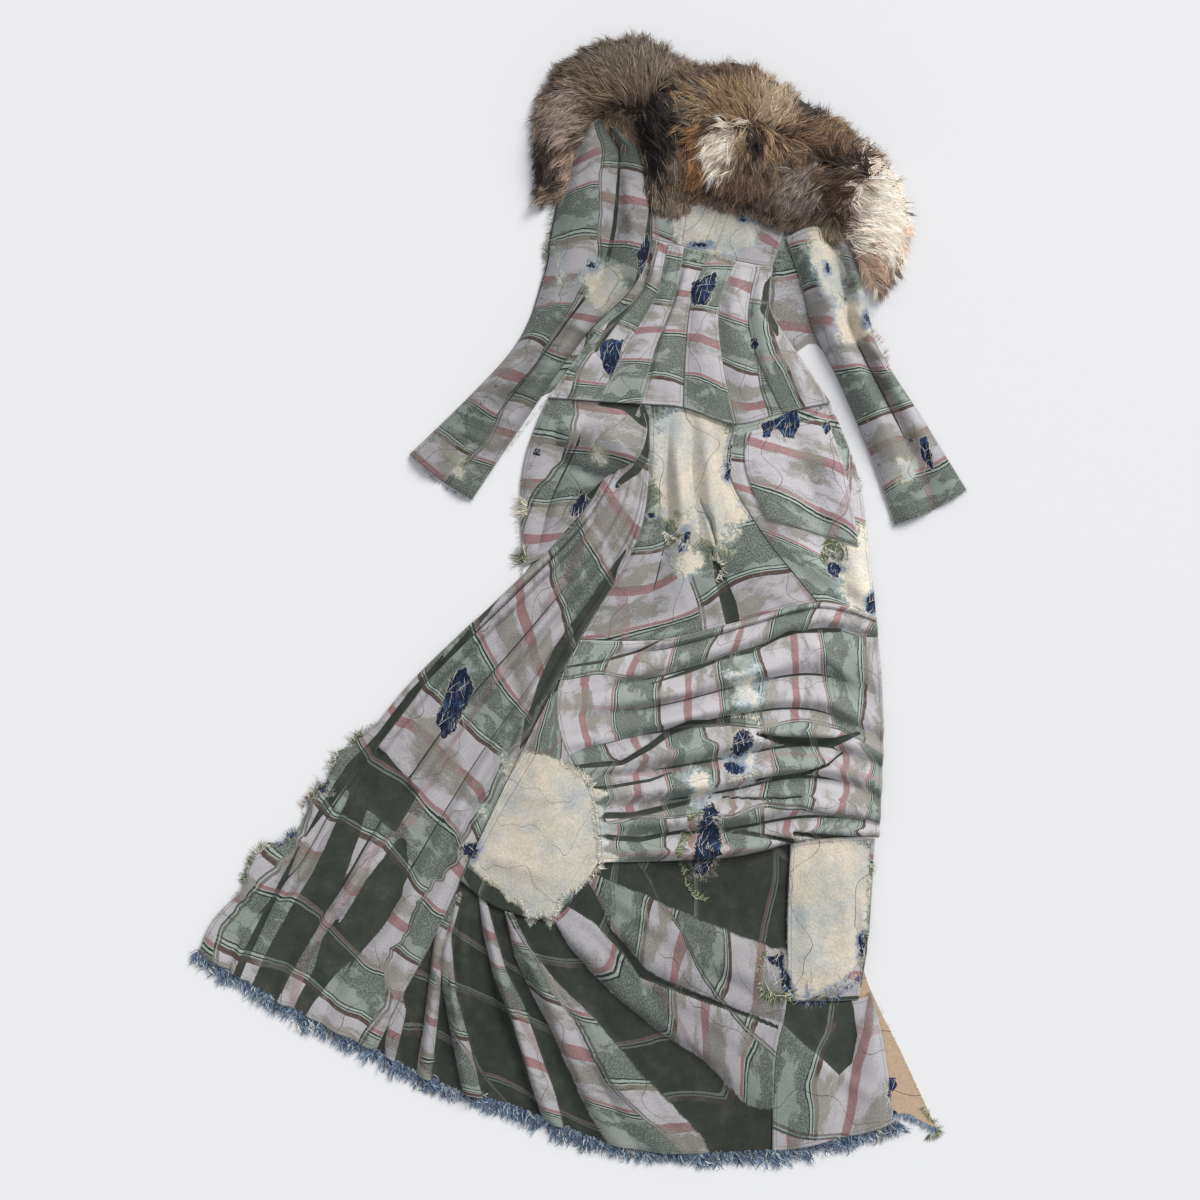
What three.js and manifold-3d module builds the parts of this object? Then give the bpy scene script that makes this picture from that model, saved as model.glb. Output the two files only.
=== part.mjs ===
// A long patchwork denim coat with a fur collar, laid out flat on its front with its back up.
// Millimetres, +Z up, +Y towards the collar. The coat rests on the plane z = 0, which its fronts,
// its under sleeves and the outer half of its collar touch.
import * as THREE from "three";
import { mergeVertices } from "three/addons/utils/BufferGeometryUtils.js";
import Module from "manifold-3d";

const wasm = await Module();
wasm.setup();

// Driving dimensions.
const CLOTH = 1.6; // thickness of the heavy jacquard denim
const SEAM_GAP = 0.3; // clear space between two pieces at a seam
const LAYER = CLOTH + SEAM_GAP; // how much higher each lapped piece lies
const STEEPEST = 0.6; // the wall is measured upright, so it grows on slopes, up to this cosine
const FOLD_CUTS = 4; // strips in each fold, across it
const FLAT_CUTS = 2; // and in one lower than the next size
const FLAT_FOLD = 6;
const CROWN = 7; // how high cloth with no folds of its own lies at its middle

const HEM_STRIP = { gap: 0.8, width: 6, low: 1.0, high: 6.0, pieces: 10 };
const FRINGE = { locks: 38, root: 2.2, shortest: 15, longest: 25, tip: 1.8, sides: 3, splay: 0.35 };
const COLLAR = { rim: 7, clearance: 7.3, cuts: 10, steps: 5, flat: 0.42, ramp: 0.6, gap: 0.3 };

// Seam lines and edges, each a smooth line through its points, from the collar down or from left to right.
const line = (...points) => new THREE.SplineCurve(points.map(([x, y]) => new THREE.Vector2(x, y)));

const waist = line([-54, 328], [26, 322], [94, 318], [109, 317], [162, 312], [245, 286], [320, 304], [397, 320]);
const hem = line(
  [-611, -558], [-475, -640], [-330, -715], [-227, -768], [-99, -808],
  [29, -859], [157, -878], [304, -875], [413, -854], [498, -830],
);
const goreEdge = line([94, 318], [5, 147], [-291, -182], [-475, -392], [-611, -558]);
const goreSeam = line(
  [109, 317], [93, 117], [-6, -59], [-67, -181], [-123, -291],
  [-185, -420], [-232, -525], [-285, -622], [-330, -715],
);
const hipSeam = line([245, 286], [234, 213], [285, 117], [378, 0]);
const hipEdge = line([397, 320], [442, 197], [461, 53], [470, -24]);
const gatherTop = line([-3, -59], [125, -59], [253, -30], [378, 0], [470, -24]);
const gatherLeft = line([-3, -59], [-39, -139], [-32, -219], [16, -315], [26, -414]);
const gatherRight = line([470, -24], [480, -155], [480, -251], [474, -373]);
const gatherFoot = line([26, -414], [141, -410], [243, -404], [333, -383], [404, -374], [474, -373]);
const wornFoot = line([-194, -443], [-131, -488], [-42, -499], [26, -414]);
const cornerSeam = line([333, -383], [328, -494], [326, -635], [308, -731], [304, -875]);
const cornerTop = line([326, -635], [442, -632], [461, -618]);

// The six upright seams of the bodice, from the yoke to the waist.
const bodiceSeams = [
  line([112, 581], [99, 501], [22, 429], [-54, 328]),
  line([138, 574], [118, 491], [69, 405], [26, 322]),
  line([163, 568], [147, 485], [115, 402], [94, 318]),
  line([202, 558], [176, 485], [166, 405], [162, 312]),
  line([245, 546], [218, 469], [224, 381], [245, 286]),
  line([280, 539], [266, 453], [288, 373], [320, 304]),
  line([304, 536], [301, 469], [344, 397], [397, 320]),
];
const waistStations = [0, 1, 2, 4, 5, 6, 7]; // which of the waist's points each bodice seam meets

// The stretch of a line between two of its points, counted from 0.
function between(whole, first, last) {
  const spans = whole.points.length - 1;
  return { getPoint: (t) => whole.getPoint((first + (last - first) * t) / spans) };
}

// The same line the other way round.
const backwards = (whole) => ({ getPoint: (t) => whole.getPoint(1 - t) });

// Two lines end to end; the first one takes the given share of the way.
function joined(first, second, share) {
  return { getPoint: (t) => (t < share ? first.getPoint(t / share) : second.getPoint((t - share) / (1 - share))) };
}

// Colours of the cloths.
const SAGE = 0x84908a, TAUPE = 0x8f857d, OLIVE = 0x4a5046, CREAM = 0xd6cdbb, STONE = 0xa9a0a2;
const BEIGE = 0xc3ad92, INDIGO = 0x4f6684;

// Folds: each row is a valley line, with its share across the piece where it starts, midway and
// where it ends, and the height of the crest between it and the next row's valley. Sewn says that
// the crest dies away at its end, where the piece around it runs on loose.
const smooth = [{ start: 0, middle: 0, end: 0, crest: CROWN }, { start: 1, middle: 1, end: 1, crest: 0 }];
const flatter = [{ start: 0, middle: 0, end: 0, crest: CROWN / 2 }, { start: 1, middle: 1, end: 1, crest: 0 }];
const goreFolds = [
  { start: 0, middle: 0, end: 0, crest: 8 },
  { start: 0.15, middle: 0.1, end: 0.22, crest: 15 },
  { start: 0.3, middle: 0.19, end: 0.3, crest: 5 },
  { start: 0.55, middle: 0.4, end: 0.44, crest: 17 },
  { start: 0.8, middle: 0.52, end: 0.53, crest: 6 },
  { start: 0.92, middle: 0.72, end: 0.7, crest: 12 },
  { start: 0.97, middle: 0.86, end: 0.86, crest: 8 },
  { start: 1, middle: 1, end: 1, crest: 0 },
];
const centreFolds = [
  { start: 0, middle: 0, end: 0, crest: 5 },
  { start: 0.33, middle: 0.3, end: 0.25, crest: 12 },
  { start: 0.62, middle: 0.6, end: 0.5, crest: 8 },
  { start: 1, middle: 1, end: 1, crest: 0 },
];
const hipLeftFolds = [
  { start: 0, middle: 0, end: 0, crest: 7 },
  { start: 0.4, middle: 0.42, end: 0.5, crest: 24 },
  { start: 0.85, middle: 0.85, end: 0.8, crest: 0 },
  { start: 1, middle: 1, end: 1, crest: 0 },
];
const hipRightFolds = [
  { start: 0, middle: 0, end: 0, crest: 7 },
  { start: 0.55, middle: 0.6, end: 0.6, crest: 9 },
  { start: 1, middle: 1, end: 1, crest: 0 },
];
const gathers = [
  { start: 0, middle: 0, end: 0, crest: 7 },
  { start: 0.1, middle: 0.04, end: 0.03, crest: 12 },
  { start: 0.24, middle: 0.15, end: 0.1, crest: 15 },
  { start: 0.41, middle: 0.28, end: 0.33, crest: 15 },
  { start: 0.57, middle: 0.41, end: 0.57, crest: 19 },
  { start: 0.68, middle: 0.6, end: 0.7, crest: 18 },
  { start: 0.8, middle: 0.73, end: 0.82, crest: 18 },
  { start: 0.89, middle: 0.87, end: 0.93, crest: 16 },
  { start: 1, middle: 1, end: 1, crest: 0 },
];
const HEM_SHARE = 0.7; // how much of the fan's lower edge is hem, before the corner's seam
const pleats = [
  { start: 0, middle: 0, end: 0, crest: 5 },
  { start: 0.03, middle: 0.06, end: 0.095, crest: 15 },
  { start: 0.07, middle: 0.11, end: 0.14, crest: 18 },
  { start: 0.13, middle: 0.18, end: 0.235, crest: 4 },
  { start: 0.2, middle: 0.26, end: 0.325, crest: 19 },
  { start: 0.27, middle: 0.32, end: 0.37, crest: 4 },
  { start: 0.38, middle: 0.38, end: 0.395, crest: 19 },
  { start: 0.46, middle: 0.47, end: 0.49, crest: 15 },
  { start: 0.58, middle: 0.57, end: 0.585, crest: 4, sewn: true },
  { start: 0.74, middle: 0.72, end: HEM_SHARE, crest: 17, sewn: true },
  { start: 0.9, middle: 0.85, end: 0.83, crest: 15, sewn: true },
  { start: 0.97, middle: 0.93, end: 0.905, crest: 4, sewn: true },
  { start: 1, middle: 1, end: 1, crest: 0 },
];
const cornerFolds = [
  { start: 0, middle: 0, end: 0, crest: 7 },
  { start: 0.45, middle: 0.5, end: 0.5, crest: 9 },
  { start: 1, middle: 1, end: 1, crest: 0 },
];
const sleeveFolds = [
  { start: 0, middle: 0, end: 0, crest: 20 },
  { start: 0.66, middle: 0.62, end: 0.55, crest: 13 },
  { start: 1, middle: 1, end: 1, crest: 0 },
];

// The pieces of the back, each between four edges. Level counts how many seam laps it lies over, runs
// says which way its folds go, and ends how much of a fold's height is left at its start and its end.
const backPieces = {
  yoke: {
    level: 0, colour: CREAM, folds: flatter, runs: "down", steps: 4, ends: [1, 0],
    top: line([112, 680], [189, 675], [269, 661], [333, 622]),
    bottom: line([112, 581], [173, 565], [245, 546], [304, 536]),
  },
  hip_left: {
    level: 0, colour: SAGE, folds: hipLeftFolds, runs: "down", steps: 9, ends: [0, 0],
    top: between(waist, 0, 2),
    left: line([-54, 328], [-86, 248], [-98, 165], [-93, 59]),
    right: between(goreEdge, 0, 1.25),
  },
  gore_left: {
    level: 1, colour: TAUPE, folds: goreFolds, runs: "down", steps: 15, ends: [0, 0.75],
    top: between(waist, 2, 3), bottom: between(hem, 0, 2), left: goreEdge, right: goreSeam,
  },
  skirt_centre: {
    level: 0, colour: CREAM, folds: centreFolds, runs: "down", steps: 10, ends: [0, 0],
    top: between(waist, 3, 5), bottom: between(gatherTop, 0, 3), left: between(goreSeam, 0, 2), right: hipSeam,
  },
  hip_right: {
    level: 1, colour: TAUPE, folds: hipRightFolds, runs: "down", steps: 10, ends: [0, 0],
    top: between(waist, 5, 7), bottom: between(gatherTop, 3, 4), left: hipSeam, right: hipEdge,
  },
  gathered_panel: {
    level: 2, colour: STONE, folds: gathers, runs: "across", steps: 14, ends: [0, 0.35],
    top: gatherTop, bottom: gatherFoot, left: gatherLeft, right: gatherRight,
  },
  worn_panel: {
    level: 3, colour: CREAM, folds: smooth, runs: "down", steps: 8, ends: [0, 0],
    left: between(goreSeam, 2.7, 5.2), right: between(gatherLeft, 1, 4), bottom: wornFoot,
  },
  pleated_fan: {
    level: 0, colour: OLIVE, folds: pleats, runs: "down", steps: 11, ends: [0, 0.8],
    top: wornFoot, left: between(goreSeam, 5.2, 8), right: between(gatherFoot, 0, 3),
    bottom: joined(between(hem, 2, 7), backwards(cornerSeam), HEM_SHARE),
  },
  patch_right: {
    level: 3, colour: CREAM, folds: smooth, runs: "down", steps: 6, ends: [0, 0.3],
    top: between(gatherFoot, 3, 4.85), bottom: between(cornerTop, 0, 1),
    left: between(cornerSeam, 0, 2), right: line([464, -373], [456, -523], [442, -632]),
  },
  corner_panel: {
    level: 1, colour: SAGE, folds: cornerFolds, runs: "down", steps: 7, ends: [0, 0.8],
    left: between(cornerSeam, 2, 4), right: line([461, -618], [483, -715], [498, -830]),
    top: cornerTop, bottom: between(hem, 7, 9),
  },
};
const bodiceNames = ["side_left", "back_left", "centre_left", "centre_right", "back_right", "side_right"];
const bodiceColours = [SAGE, TAUPE, STONE, TAUPE, SAGE, STONE];
bodiceNames.forEach((name, i) => {
  backPieces["bodice_" + name] = {
    level: 2 + (i % 2), colour: bodiceColours[i], folds: smooth, runs: "down", steps: 7, ends: [0, 0],
    bottom: between(waist, waistStations[i], waistStations[i + 1]),
    left: bodiceSeams[i], right: bodiceSeams[i + 1],
  };
});
const sleevePieces = {
  sleeve_left: {
    level: 0, colour: SAGE, folds: sleeveFolds, runs: "down", steps: 16, ends: [0.9, 0.35],
    top: line([24, 770], [48, 775], [70, 757]),
    left: line([24, 770], [-32, 661], [-59, 525], [-112, 402], [-275, 237]),
    right: line([70, 757], [101, 661], [94, 565], [80, 509], [3, 426], [-75, 317], [-176, 165]),
    bottom: line([-275, 237], [-227, 197], [-176, 165]),
  },
  sleeve_right: {
    level: 0, colour: TAUPE, folds: sleeveFolds, runs: "down", steps: 16, ends: [0.5, 0.35],
    top: line([326, 584], [375, 600], [426, 584]),
    left: line([326, 584], [349, 517], [370, 437], [410, 357], [458, 245], [501, 125]),
    right: line([426, 584], [445, 517], [464, 429], [490, 376], [549, 285], [614, 181]),
    bottom: line([501, 125], [560, 149], [614, 181]),
  },
};

// The flat pieces on the ground, each an outline. They stop short of the back's edges, except where
// the right front's plain inside shows past the corner of the hem.
const centreFront = line([214, 651], [173, 325], [93, -155], [61, -843]);
const flatPieces = {
  front_left: {
    colour: TAUPE,
    edges: [
      line([131, 661], [128, 581], [115, 498], [38, 424], [-38, 322], [-72, 245], [-83, 165], [-77, 75],
        [-131, -2], [-278, -190], [-462, -400], [-592, -555]),
      line([-592, -555], [-330, -702], [-99, -795], [60, -843]),
    ],
    closing: { edge: centreFront, shift: -SEAM_GAP },
  },
  front_right: {
    colour: BEIGE,
    edges: [
      line([300, 600], [285, 536], [282, 469], [322, 381], [383, 300], [432, 197], [451, 53], [467, -91],
        [470, -251], [461, -379], [442, -523], [458, -611], [509, -715], [568, -843]),
      line([568, -843], [512, -818], [440, -836], [304, -862], [62, -843]),
    ],
    closing: { edge: centreFront, shift: SEAM_GAP },
  },
  under_sleeve_left: {
    colour: OLIVE,
    edges: [
      line([24, 768], [-30, 661], [-57, 525], [-110, 402], [-273, 237]),
      line([-273, 237], [-227, 199], [-176, 167]),
      line([-176, 167], [-80, 315], [-42, 345], [30, 434], [107, 507], [121, 581], [122, 640], [100, 700], [70, 755]),
    ],
  },
  under_sleeve_right: {
    colour: OLIVE,
    edges: [
      line([318, 594], [296, 530], [292, 445], [328, 396], [372, 416], [411, 355], [459, 243], [502, 127]),
      line([502, 127], [560, 151], [612, 181]),
      line([612, 181], [548, 284], [489, 375], [463, 429], [444, 517], [424, 582]),
    ],
  },
};

// The collar's sections, from the end beside the left sleeve round to the end below the right
// shoulder: a point on its inner edge, one on its outer edge, and how high the fur stands there.
const collarSections = [
  { inner: [-58, 650], outer: [-66, 656], height: 22 },
  { inner: [-42, 690], outer: [-72, 725], height: 36 },
  { inner: [-19, 731], outer: [-66, 792], height: 48 },
  { inner: [10, 782], outer: [-35, 856], height: 58 },
  { inner: [64, 774], outer: [38, 894], height: 68 },
  { inner: [109, 725], outer: [109, 896], height: 74 },
  { inner: [138, 658], outer: [189, 853], height: 50 },
  { inner: [208, 635], outer: [245, 862], height: 70 },
  { inner: [261, 622], outer: [304, 837], height: 76 },
  { inner: [317, 603], outer: [373, 786], height: 60 },
  { inner: [373, 610], outer: [432, 750], height: 68 },
  { inner: [429, 597], outer: [486, 696], height: 56 },
  { inner: [454, 555], outer: [522, 610], height: 48 },
  { inner: [477, 510], outer: [496, 514], height: 25 },
];
// The four pelts, the sections that each runs between, and whether it lies over the back of the neck.
const pelts = [
  { name: "pelt_left", from: 0, to: 6, colour: 0x6f6458 },
  { name: "pelt_centre", from: 6, to: 9, colour: 0x94704f },
  { name: "pelt_right", from: 9, to: 11, colour: 0x7a6552 },
  { name: "pelt_end", from: 11, to: 13, colour: 0xcdbba6 },
];
const NECK = { from: 5.4, to: 9.2 }; // sections between which the collar lies on the yoke

const coat = new THREE.Group();

function add(name, geometry, colour, roughness = 0.9) {
  const flat = geometry.clone();
  flat.computeVertexNormals();
  const mesh = new THREE.Mesh(flat, new THREE.MeshStandardMaterial({ color: colour, roughness, metalness: 0 }));
  mesh.name = name;
  coat.add(mesh);
  return mesh;
}

// A point of a four-edged piece: the blend of its edges at a share across and a share down. An edge
// that the table leaves out is straight.
function place(piece, u, v) {
  const straight = (a, b) => ({ getPoint: (t) => a.clone().lerp(b, t) });
  const left = piece.left ?? straight(piece.top.getPoint(0), piece.bottom.getPoint(0));
  const right = piece.right ?? straight(piece.top.getPoint(1), piece.bottom.getPoint(1));
  const top = piece.top ?? straight(left.getPoint(0), right.getPoint(0));
  const bottom = piece.bottom ?? straight(left.getPoint(1), right.getPoint(1));
  const sides = left.getPoint(v).lerp(right.getPoint(v), u);
  const ends = top.getPoint(u).lerp(bottom.getPoint(u), v);
  const cornersTop = left.getPoint(0).lerp(right.getPoint(0), u);
  const cornersBottom = left.getPoint(1).lerp(right.getPoint(1), u);
  return sides.add(ends).sub(cornersTop.lerp(cornersBottom, v));
}

// A valley's share across its piece, at a share along it: a parabola through its three values.
function valley(fold, t) {
  const first = (1 - t) * (1 - 2 * t), second = 4 * t * (1 - t), third = t * (2 * t - 1);
  return fold.start * first + fold.middle * second + fold.end * third;
}

// How much of a fold's height is left, at a share along it.
const REACH = 0.3; // share of a fold's length over which it dies away
function fullness([atStart, atEnd], t) {
  const fade = (share) => THREE.MathUtils.smoothstep(share, 0.03, REACH);
  return (atStart + (1 - atStart) * fade(t)) * (atEnd + (1 - atEnd) * fade(1 - t));
}

// The underside of a piece of cloth as a grid of points, row by row along its folds.
function clothGrid(piece) {
  const rows = [];
  const base = LAYER * (1 + piece.level);
  for (let i = 0; i <= piece.steps; i++) {
    const t = i / piece.steps;
    const valleys = piece.folds.map((fold) => valley(fold, t));
    const row = [];
    piece.folds.forEach((fold, k) => {
      const last = k === piece.folds.length - 1;
      const cuts = last || fold.crest === 0 ? 1 : fold.crest < FLAT_FOLD ? FLAT_CUTS : FOLD_CUTS;
      const height = fold.crest * fullness(fold.sewn ? [piece.ends[0], 0] : piece.ends, t);
      for (let j = 0; j < cuts; j++) {
        const share = j / cuts;
        const s = last ? 1 : THREE.MathUtils.lerp(valleys[k], valleys[k + 1], share);
        const spot = piece.runs === "down" ? place(piece, s, t) : place(piece, t, s);
        row.push(new THREE.Vector3(spot.x, spot.y, base + height * Math.sin(Math.PI * share) ** 2));
      }
    });
    rows.push(row);
  }
  return rows;
}

// How thick the wall is upright at each point of a grid, so that it keeps the cloth's thickness on a
// slope. It stays plain along the edges, where the next piece laps over it.
function uprightThickness(grid, i, j) {
  if (i === 0 || j === 0 || i === grid.length - 1 || j === grid[0].length - 1) return CLOTH;
  const along = grid[i + 1][j].clone().sub(grid[i - 1][j]);
  const across = grid[i][j + 1].clone().sub(grid[i][j - 1]);
  const normal = along.cross(across).normalize();
  return CLOTH / Math.max(Math.abs(normal.z), STEEPEST);
}

// A closed wall between a lower and an upper grid of points.
function wall(lower, upper) {
  const rows = lower.length, columns = lower[0].length;
  const positions = [...lower.flat(), ...upper.flat()].flatMap((p) => [p.x, p.y, p.z]);
  const low = (i, j) => i * columns + j;
  const high = (i, j) => rows * columns + low(i, j);
  const index = [];
  const quad = (a, b, c, d) => index.push(a, b, c, a, c, d);
  for (let i = 0; i < rows - 1; i++)
    for (let j = 0; j < columns - 1; j++) {
      quad(low(i, j), low(i, j + 1), low(i + 1, j + 1), low(i + 1, j));
      quad(high(i, j), high(i + 1, j), high(i + 1, j + 1), high(i, j + 1));
    }
  for (let i = 0; i < rows - 1; i++) {
    quad(low(i, 0), low(i + 1, 0), high(i + 1, 0), high(i, 0));
    quad(low(i + 1, columns - 1), low(i, columns - 1), high(i, columns - 1), high(i + 1, columns - 1));
  }
  for (let j = 0; j < columns - 1; j++) {
    quad(low(0, j + 1), low(0, j), high(0, j), high(0, j + 1));
    quad(low(rows - 1, j), low(rows - 1, j + 1), high(rows - 1, j + 1), high(rows - 1, j));
  }
  if (volume(positions, index) < 0) index.reverse();
  const geometry = new THREE.BufferGeometry();
  geometry.setAttribute("position", new THREE.Float32BufferAttribute(positions, 3));
  geometry.setIndex(index);
  return geometry;
}

// The signed volume of a closed mesh: below zero where its faces point inwards.
function volume(positions, index) {
  const corner = (n) => new THREE.Vector3().fromArray(positions, 3 * n);
  let total = 0;
  for (let n = 0; n < index.length; n += 3)
    total += corner(index[n]).dot(corner(index[n + 1]).cross(corner(index[n + 2])));
  return total / 6;
}

function clothWall(grid) {
  const upper = grid.map((row, i) =>
    row.map((p, j) => new THREE.Vector3(p.x, p.y, p.z + uprightThickness(grid, i, j))));
  return { geometry: wall(grid, upper), upper };
}

const upperSides = {};
for (const [name, piece] of Object.entries({ ...backPieces, ...sleevePieces })) {
  const { geometry, upper } = clothWall(clothGrid(piece));
  add(name, geometry, piece.colour);
  upperSides[name] = upper;
}

// The patch pocket on the right hip, made from the hip's own points, moved out.
const POCKET = { firstRow: 1, lastRow: 6, firstColumn: 1, lastColumn: 7 };
const pocketGrid = upperSides.hip_right
  .slice(POCKET.firstRow, POCKET.lastRow + 1)
  .map((row) => row.slice(POCKET.firstColumn, POCKET.lastColumn + 1)
    .map((p) => new THREE.Vector3(p.x, p.y, p.z + SEAM_GAP)));
add("pocket_right", clothWall(pocketGrid).geometry, STONE);

// The flat pieces that lie on the ground.
const EDGE_POINTS = 26;
for (const [name, piece] of Object.entries(flatPieces)) {
  const outline = piece.edges.flatMap((edge) => edge.getPoints(EDGE_POINTS).slice(0, -1));
  outline.push(piece.edges.at(-1).getPoint(1));
  if (piece.closing) {
    const back = piece.closing.edge.getPoints(EDGE_POINTS).reverse();
    outline.pop();
    outline.push(...back.map((p) => new THREE.Vector2(p.x + piece.closing.shift, p.y)));
  }
  add(name, new THREE.ExtrudeGeometry(new THREE.Shape(outline), { depth: CLOTH, bevelEnabled: false }), piece.colour);
}

// The fur collar: each pelt is one rounded solid as far out as its hair reaches. It lies flat on the
// ground outside the neckline and steps up over the yoke inside it.
const innerEdge = line(...collarSections.map((section) => section.inner));
const outerEdge = line(...collarSections.map((section) => section.outer));
const spans = collarSections.length - 1;

function furHeight(station) {
  const first = Math.min(Math.floor(station), spans - 1);
  const share = THREE.MathUtils.smoothstep(station - first, 0, 1);
  return THREE.MathUtils.lerp(collarSections[first].height, collarSections[first + 1].height, share);
}

function furUnderside(station, across) {
  const neck = THREE.MathUtils.smoothstep(station, NECK.from - 0.4, NECK.from)
    * (1 - THREE.MathUtils.smoothstep(station, NECK.to, NECK.to + 0.4));
  return COLLAR.clearance * neck * (1 - THREE.MathUtils.smoothstep(across, COLLAR.flat, COLLAR.ramp));
}

for (const pelt of pelts) {
  const lower = [], upper = [];
  const steps = Math.round(COLLAR.steps * (pelt.to - pelt.from) / 2);
  for (let i = 0; i <= steps; i++) {
    const trim = i === 0 ? COLLAR.gap / 100 : i === steps ? -COLLAR.gap / 100 : 0;
    const station = THREE.MathUtils.lerp(pelt.from, pelt.to, i / steps) + trim;
    const inner = innerEdge.getPoint(station / spans), outer = outerEdge.getPoint(station / spans);
    const lowRow = [], highRow = [];
    for (let j = 0; j <= COLLAR.cuts; j++) {
      const across = (1 - Math.cos((Math.PI * j) / COLLAR.cuts)) / 2;
      const spot = inner.clone().lerp(outer, across);
      const under = furUnderside(station, across);
      const dome = Math.sqrt(Math.max(0, 1 - (2 * across - 1) ** 2));
      lowRow.push(new THREE.Vector3(spot.x, spot.y, under));
      highRow.push(new THREE.Vector3(spot.x, spot.y, under + COLLAR.rim + (furHeight(station) - under - COLLAR.rim) * dome));
    }
    lower.push(lowRow);
    upper.push(highRow);
  }
  add(pelt.name, wall(lower, upper), pelt.colour, 1);
}

// The frayed hem: strips parted from the cloth's edge, each with a row of locks fused into it.
function solidOf(geometry) {
  const bare = geometry.clone();
  bare.deleteAttribute("normal");
  bare.deleteAttribute("uv");
  const merged = mergeVertices(bare, 1e-4);
  return new wasm.Manifold(new wasm.Mesh({
    numProp: 3,
    vertProperties: new Float32Array(merged.attributes.position.array),
    triVerts: new Uint32Array(merged.index.array),
  }));
}

function geometryOf(solid) {
  const mesh = solid.getMesh();
  const geometry = new THREE.BufferGeometry();
  geometry.setAttribute("position", new THREE.BufferAttribute(mesh.vertProperties, 3));
  geometry.setIndex(new THREE.BufferAttribute(mesh.triVerts, 1));
  return geometry;
}

// A point on the hem and the way out of the cloth there.
function hemAt(station) {
  const last = hem.points.length - 1;
  const point = hem.getPoint(station / last);
  const tangent = hem.getPoint(Math.min(station + 0.01, last) / last)
    .sub(hem.getPoint(Math.max(station - 0.01, 0) / last)).normalize();
  return { point, out: new THREE.Vector2(tangent.y, -tangent.x) };
}

// A number from 0 to 1 that looks irregular but is the same each time.
const uneven = (n) => Math.abs(Math.sin(n * 12.9898) * 43758.5453) % 1;

function hemStrip(from, to) {
  const lower = [], upper = [];
  for (let i = 0; i <= HEM_STRIP.pieces; i++) {
    const { point, out } = hemAt(THREE.MathUtils.lerp(from, to, i / HEM_STRIP.pieces));
    const row = [HEM_STRIP.gap, HEM_STRIP.gap + HEM_STRIP.width].map((d) => point.clone().addScaledVector(out, d));
    lower.push(row.map((p) => new THREE.Vector3(p.x, p.y, HEM_STRIP.low)));
    upper.push(row.map((p) => new THREE.Vector3(p.x, p.y, HEM_STRIP.high)));
  }
  return wall(lower, upper);
}

// One lock of the fringe, at a place on the hem and a share along its own strip.
function lock(station, share, n) {
  const { point, out } = hemAt(station);
  const long = THREE.MathUtils.lerp(FRINGE.shortest, FRINGE.longest, uneven(n));
  const lean = FRINGE.splay * (2 * uneven(n + 0.5) - 1) * (1 - Math.abs(2 * share - 1) ** 4);
  const side = new THREE.Vector2(-out.y, out.x).multiplyScalar(lean);
  const start = point.clone().addScaledVector(out, HEM_STRIP.gap + HEM_STRIP.width - FRINGE.root);
  const way = out.clone().add(side).normalize();
  const middle = (HEM_STRIP.low + HEM_STRIP.high) / 2;
  const fall = (FRINGE.tip - middle) / long;
  const direction = new THREE.Vector3(way.x, way.y, fall).normalize();
  const cone = new THREE.ConeGeometry(FRINGE.root, long, FRINGE.sides);
  cone.translate(0, long / 2, 0);
  cone.applyQuaternion(new THREE.Quaternion().setFromUnitVectors(new THREE.Vector3(0, 1, 0), direction));
  cone.translate(start.x, start.y, middle);
  return cone;
}

const STRIPS = 6;
const STRIP_GAP = 0.004; // of a hem span, between one strip and the next
for (let k = 0; k < STRIPS; k++) {
  const span = (hem.points.length - 1) / STRIPS;
  const from = k * span + STRIP_GAP, to = (k + 1) * span - STRIP_GAP;
  let fringe = solidOf(hemStrip(from, to));
  for (let n = 0; n < FRINGE.locks; n++) {
    const share = (n + 0.5) / FRINGE.locks;
    fringe = fringe.add(solidOf(lock(THREE.MathUtils.lerp(from, to, share), share, k * FRINGE.locks + n)));
  }
  add("hem_fringe_" + (k + 1), geometryOf(fringe), INDIGO, 1);
}

export default coat;
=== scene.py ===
# A long patchwork denim coat with a fur collar, laid out flat with its back up. Metres, +Z up,
# +Y towards the collar.
import math

import bmesh
import bpy
import numpy as np
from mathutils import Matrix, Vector


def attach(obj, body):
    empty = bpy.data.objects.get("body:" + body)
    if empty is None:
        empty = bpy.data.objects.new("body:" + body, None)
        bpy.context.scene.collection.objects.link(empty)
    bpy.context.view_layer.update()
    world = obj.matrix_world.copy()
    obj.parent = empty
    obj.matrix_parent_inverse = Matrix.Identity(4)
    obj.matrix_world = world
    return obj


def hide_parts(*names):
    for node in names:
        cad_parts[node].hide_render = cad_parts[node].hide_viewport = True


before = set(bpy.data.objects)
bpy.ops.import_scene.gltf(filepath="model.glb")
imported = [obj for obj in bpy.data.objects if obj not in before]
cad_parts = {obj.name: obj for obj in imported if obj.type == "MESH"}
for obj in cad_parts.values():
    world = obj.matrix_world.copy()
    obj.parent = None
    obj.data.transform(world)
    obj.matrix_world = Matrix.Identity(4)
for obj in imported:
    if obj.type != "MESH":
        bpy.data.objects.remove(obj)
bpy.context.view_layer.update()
chance = np.random.default_rng(27)

# The surface that the coat lies on: a wide, smooth, nearly white table, lit by a soft window from the
# upper right, and seen from straight above.
VIEW_WIDTH = 1.92  # metres of the table across the picture
VIEW_HEIGHT = 2.9  # how far the lens stands above the table
SENSOR = 0.036

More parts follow.
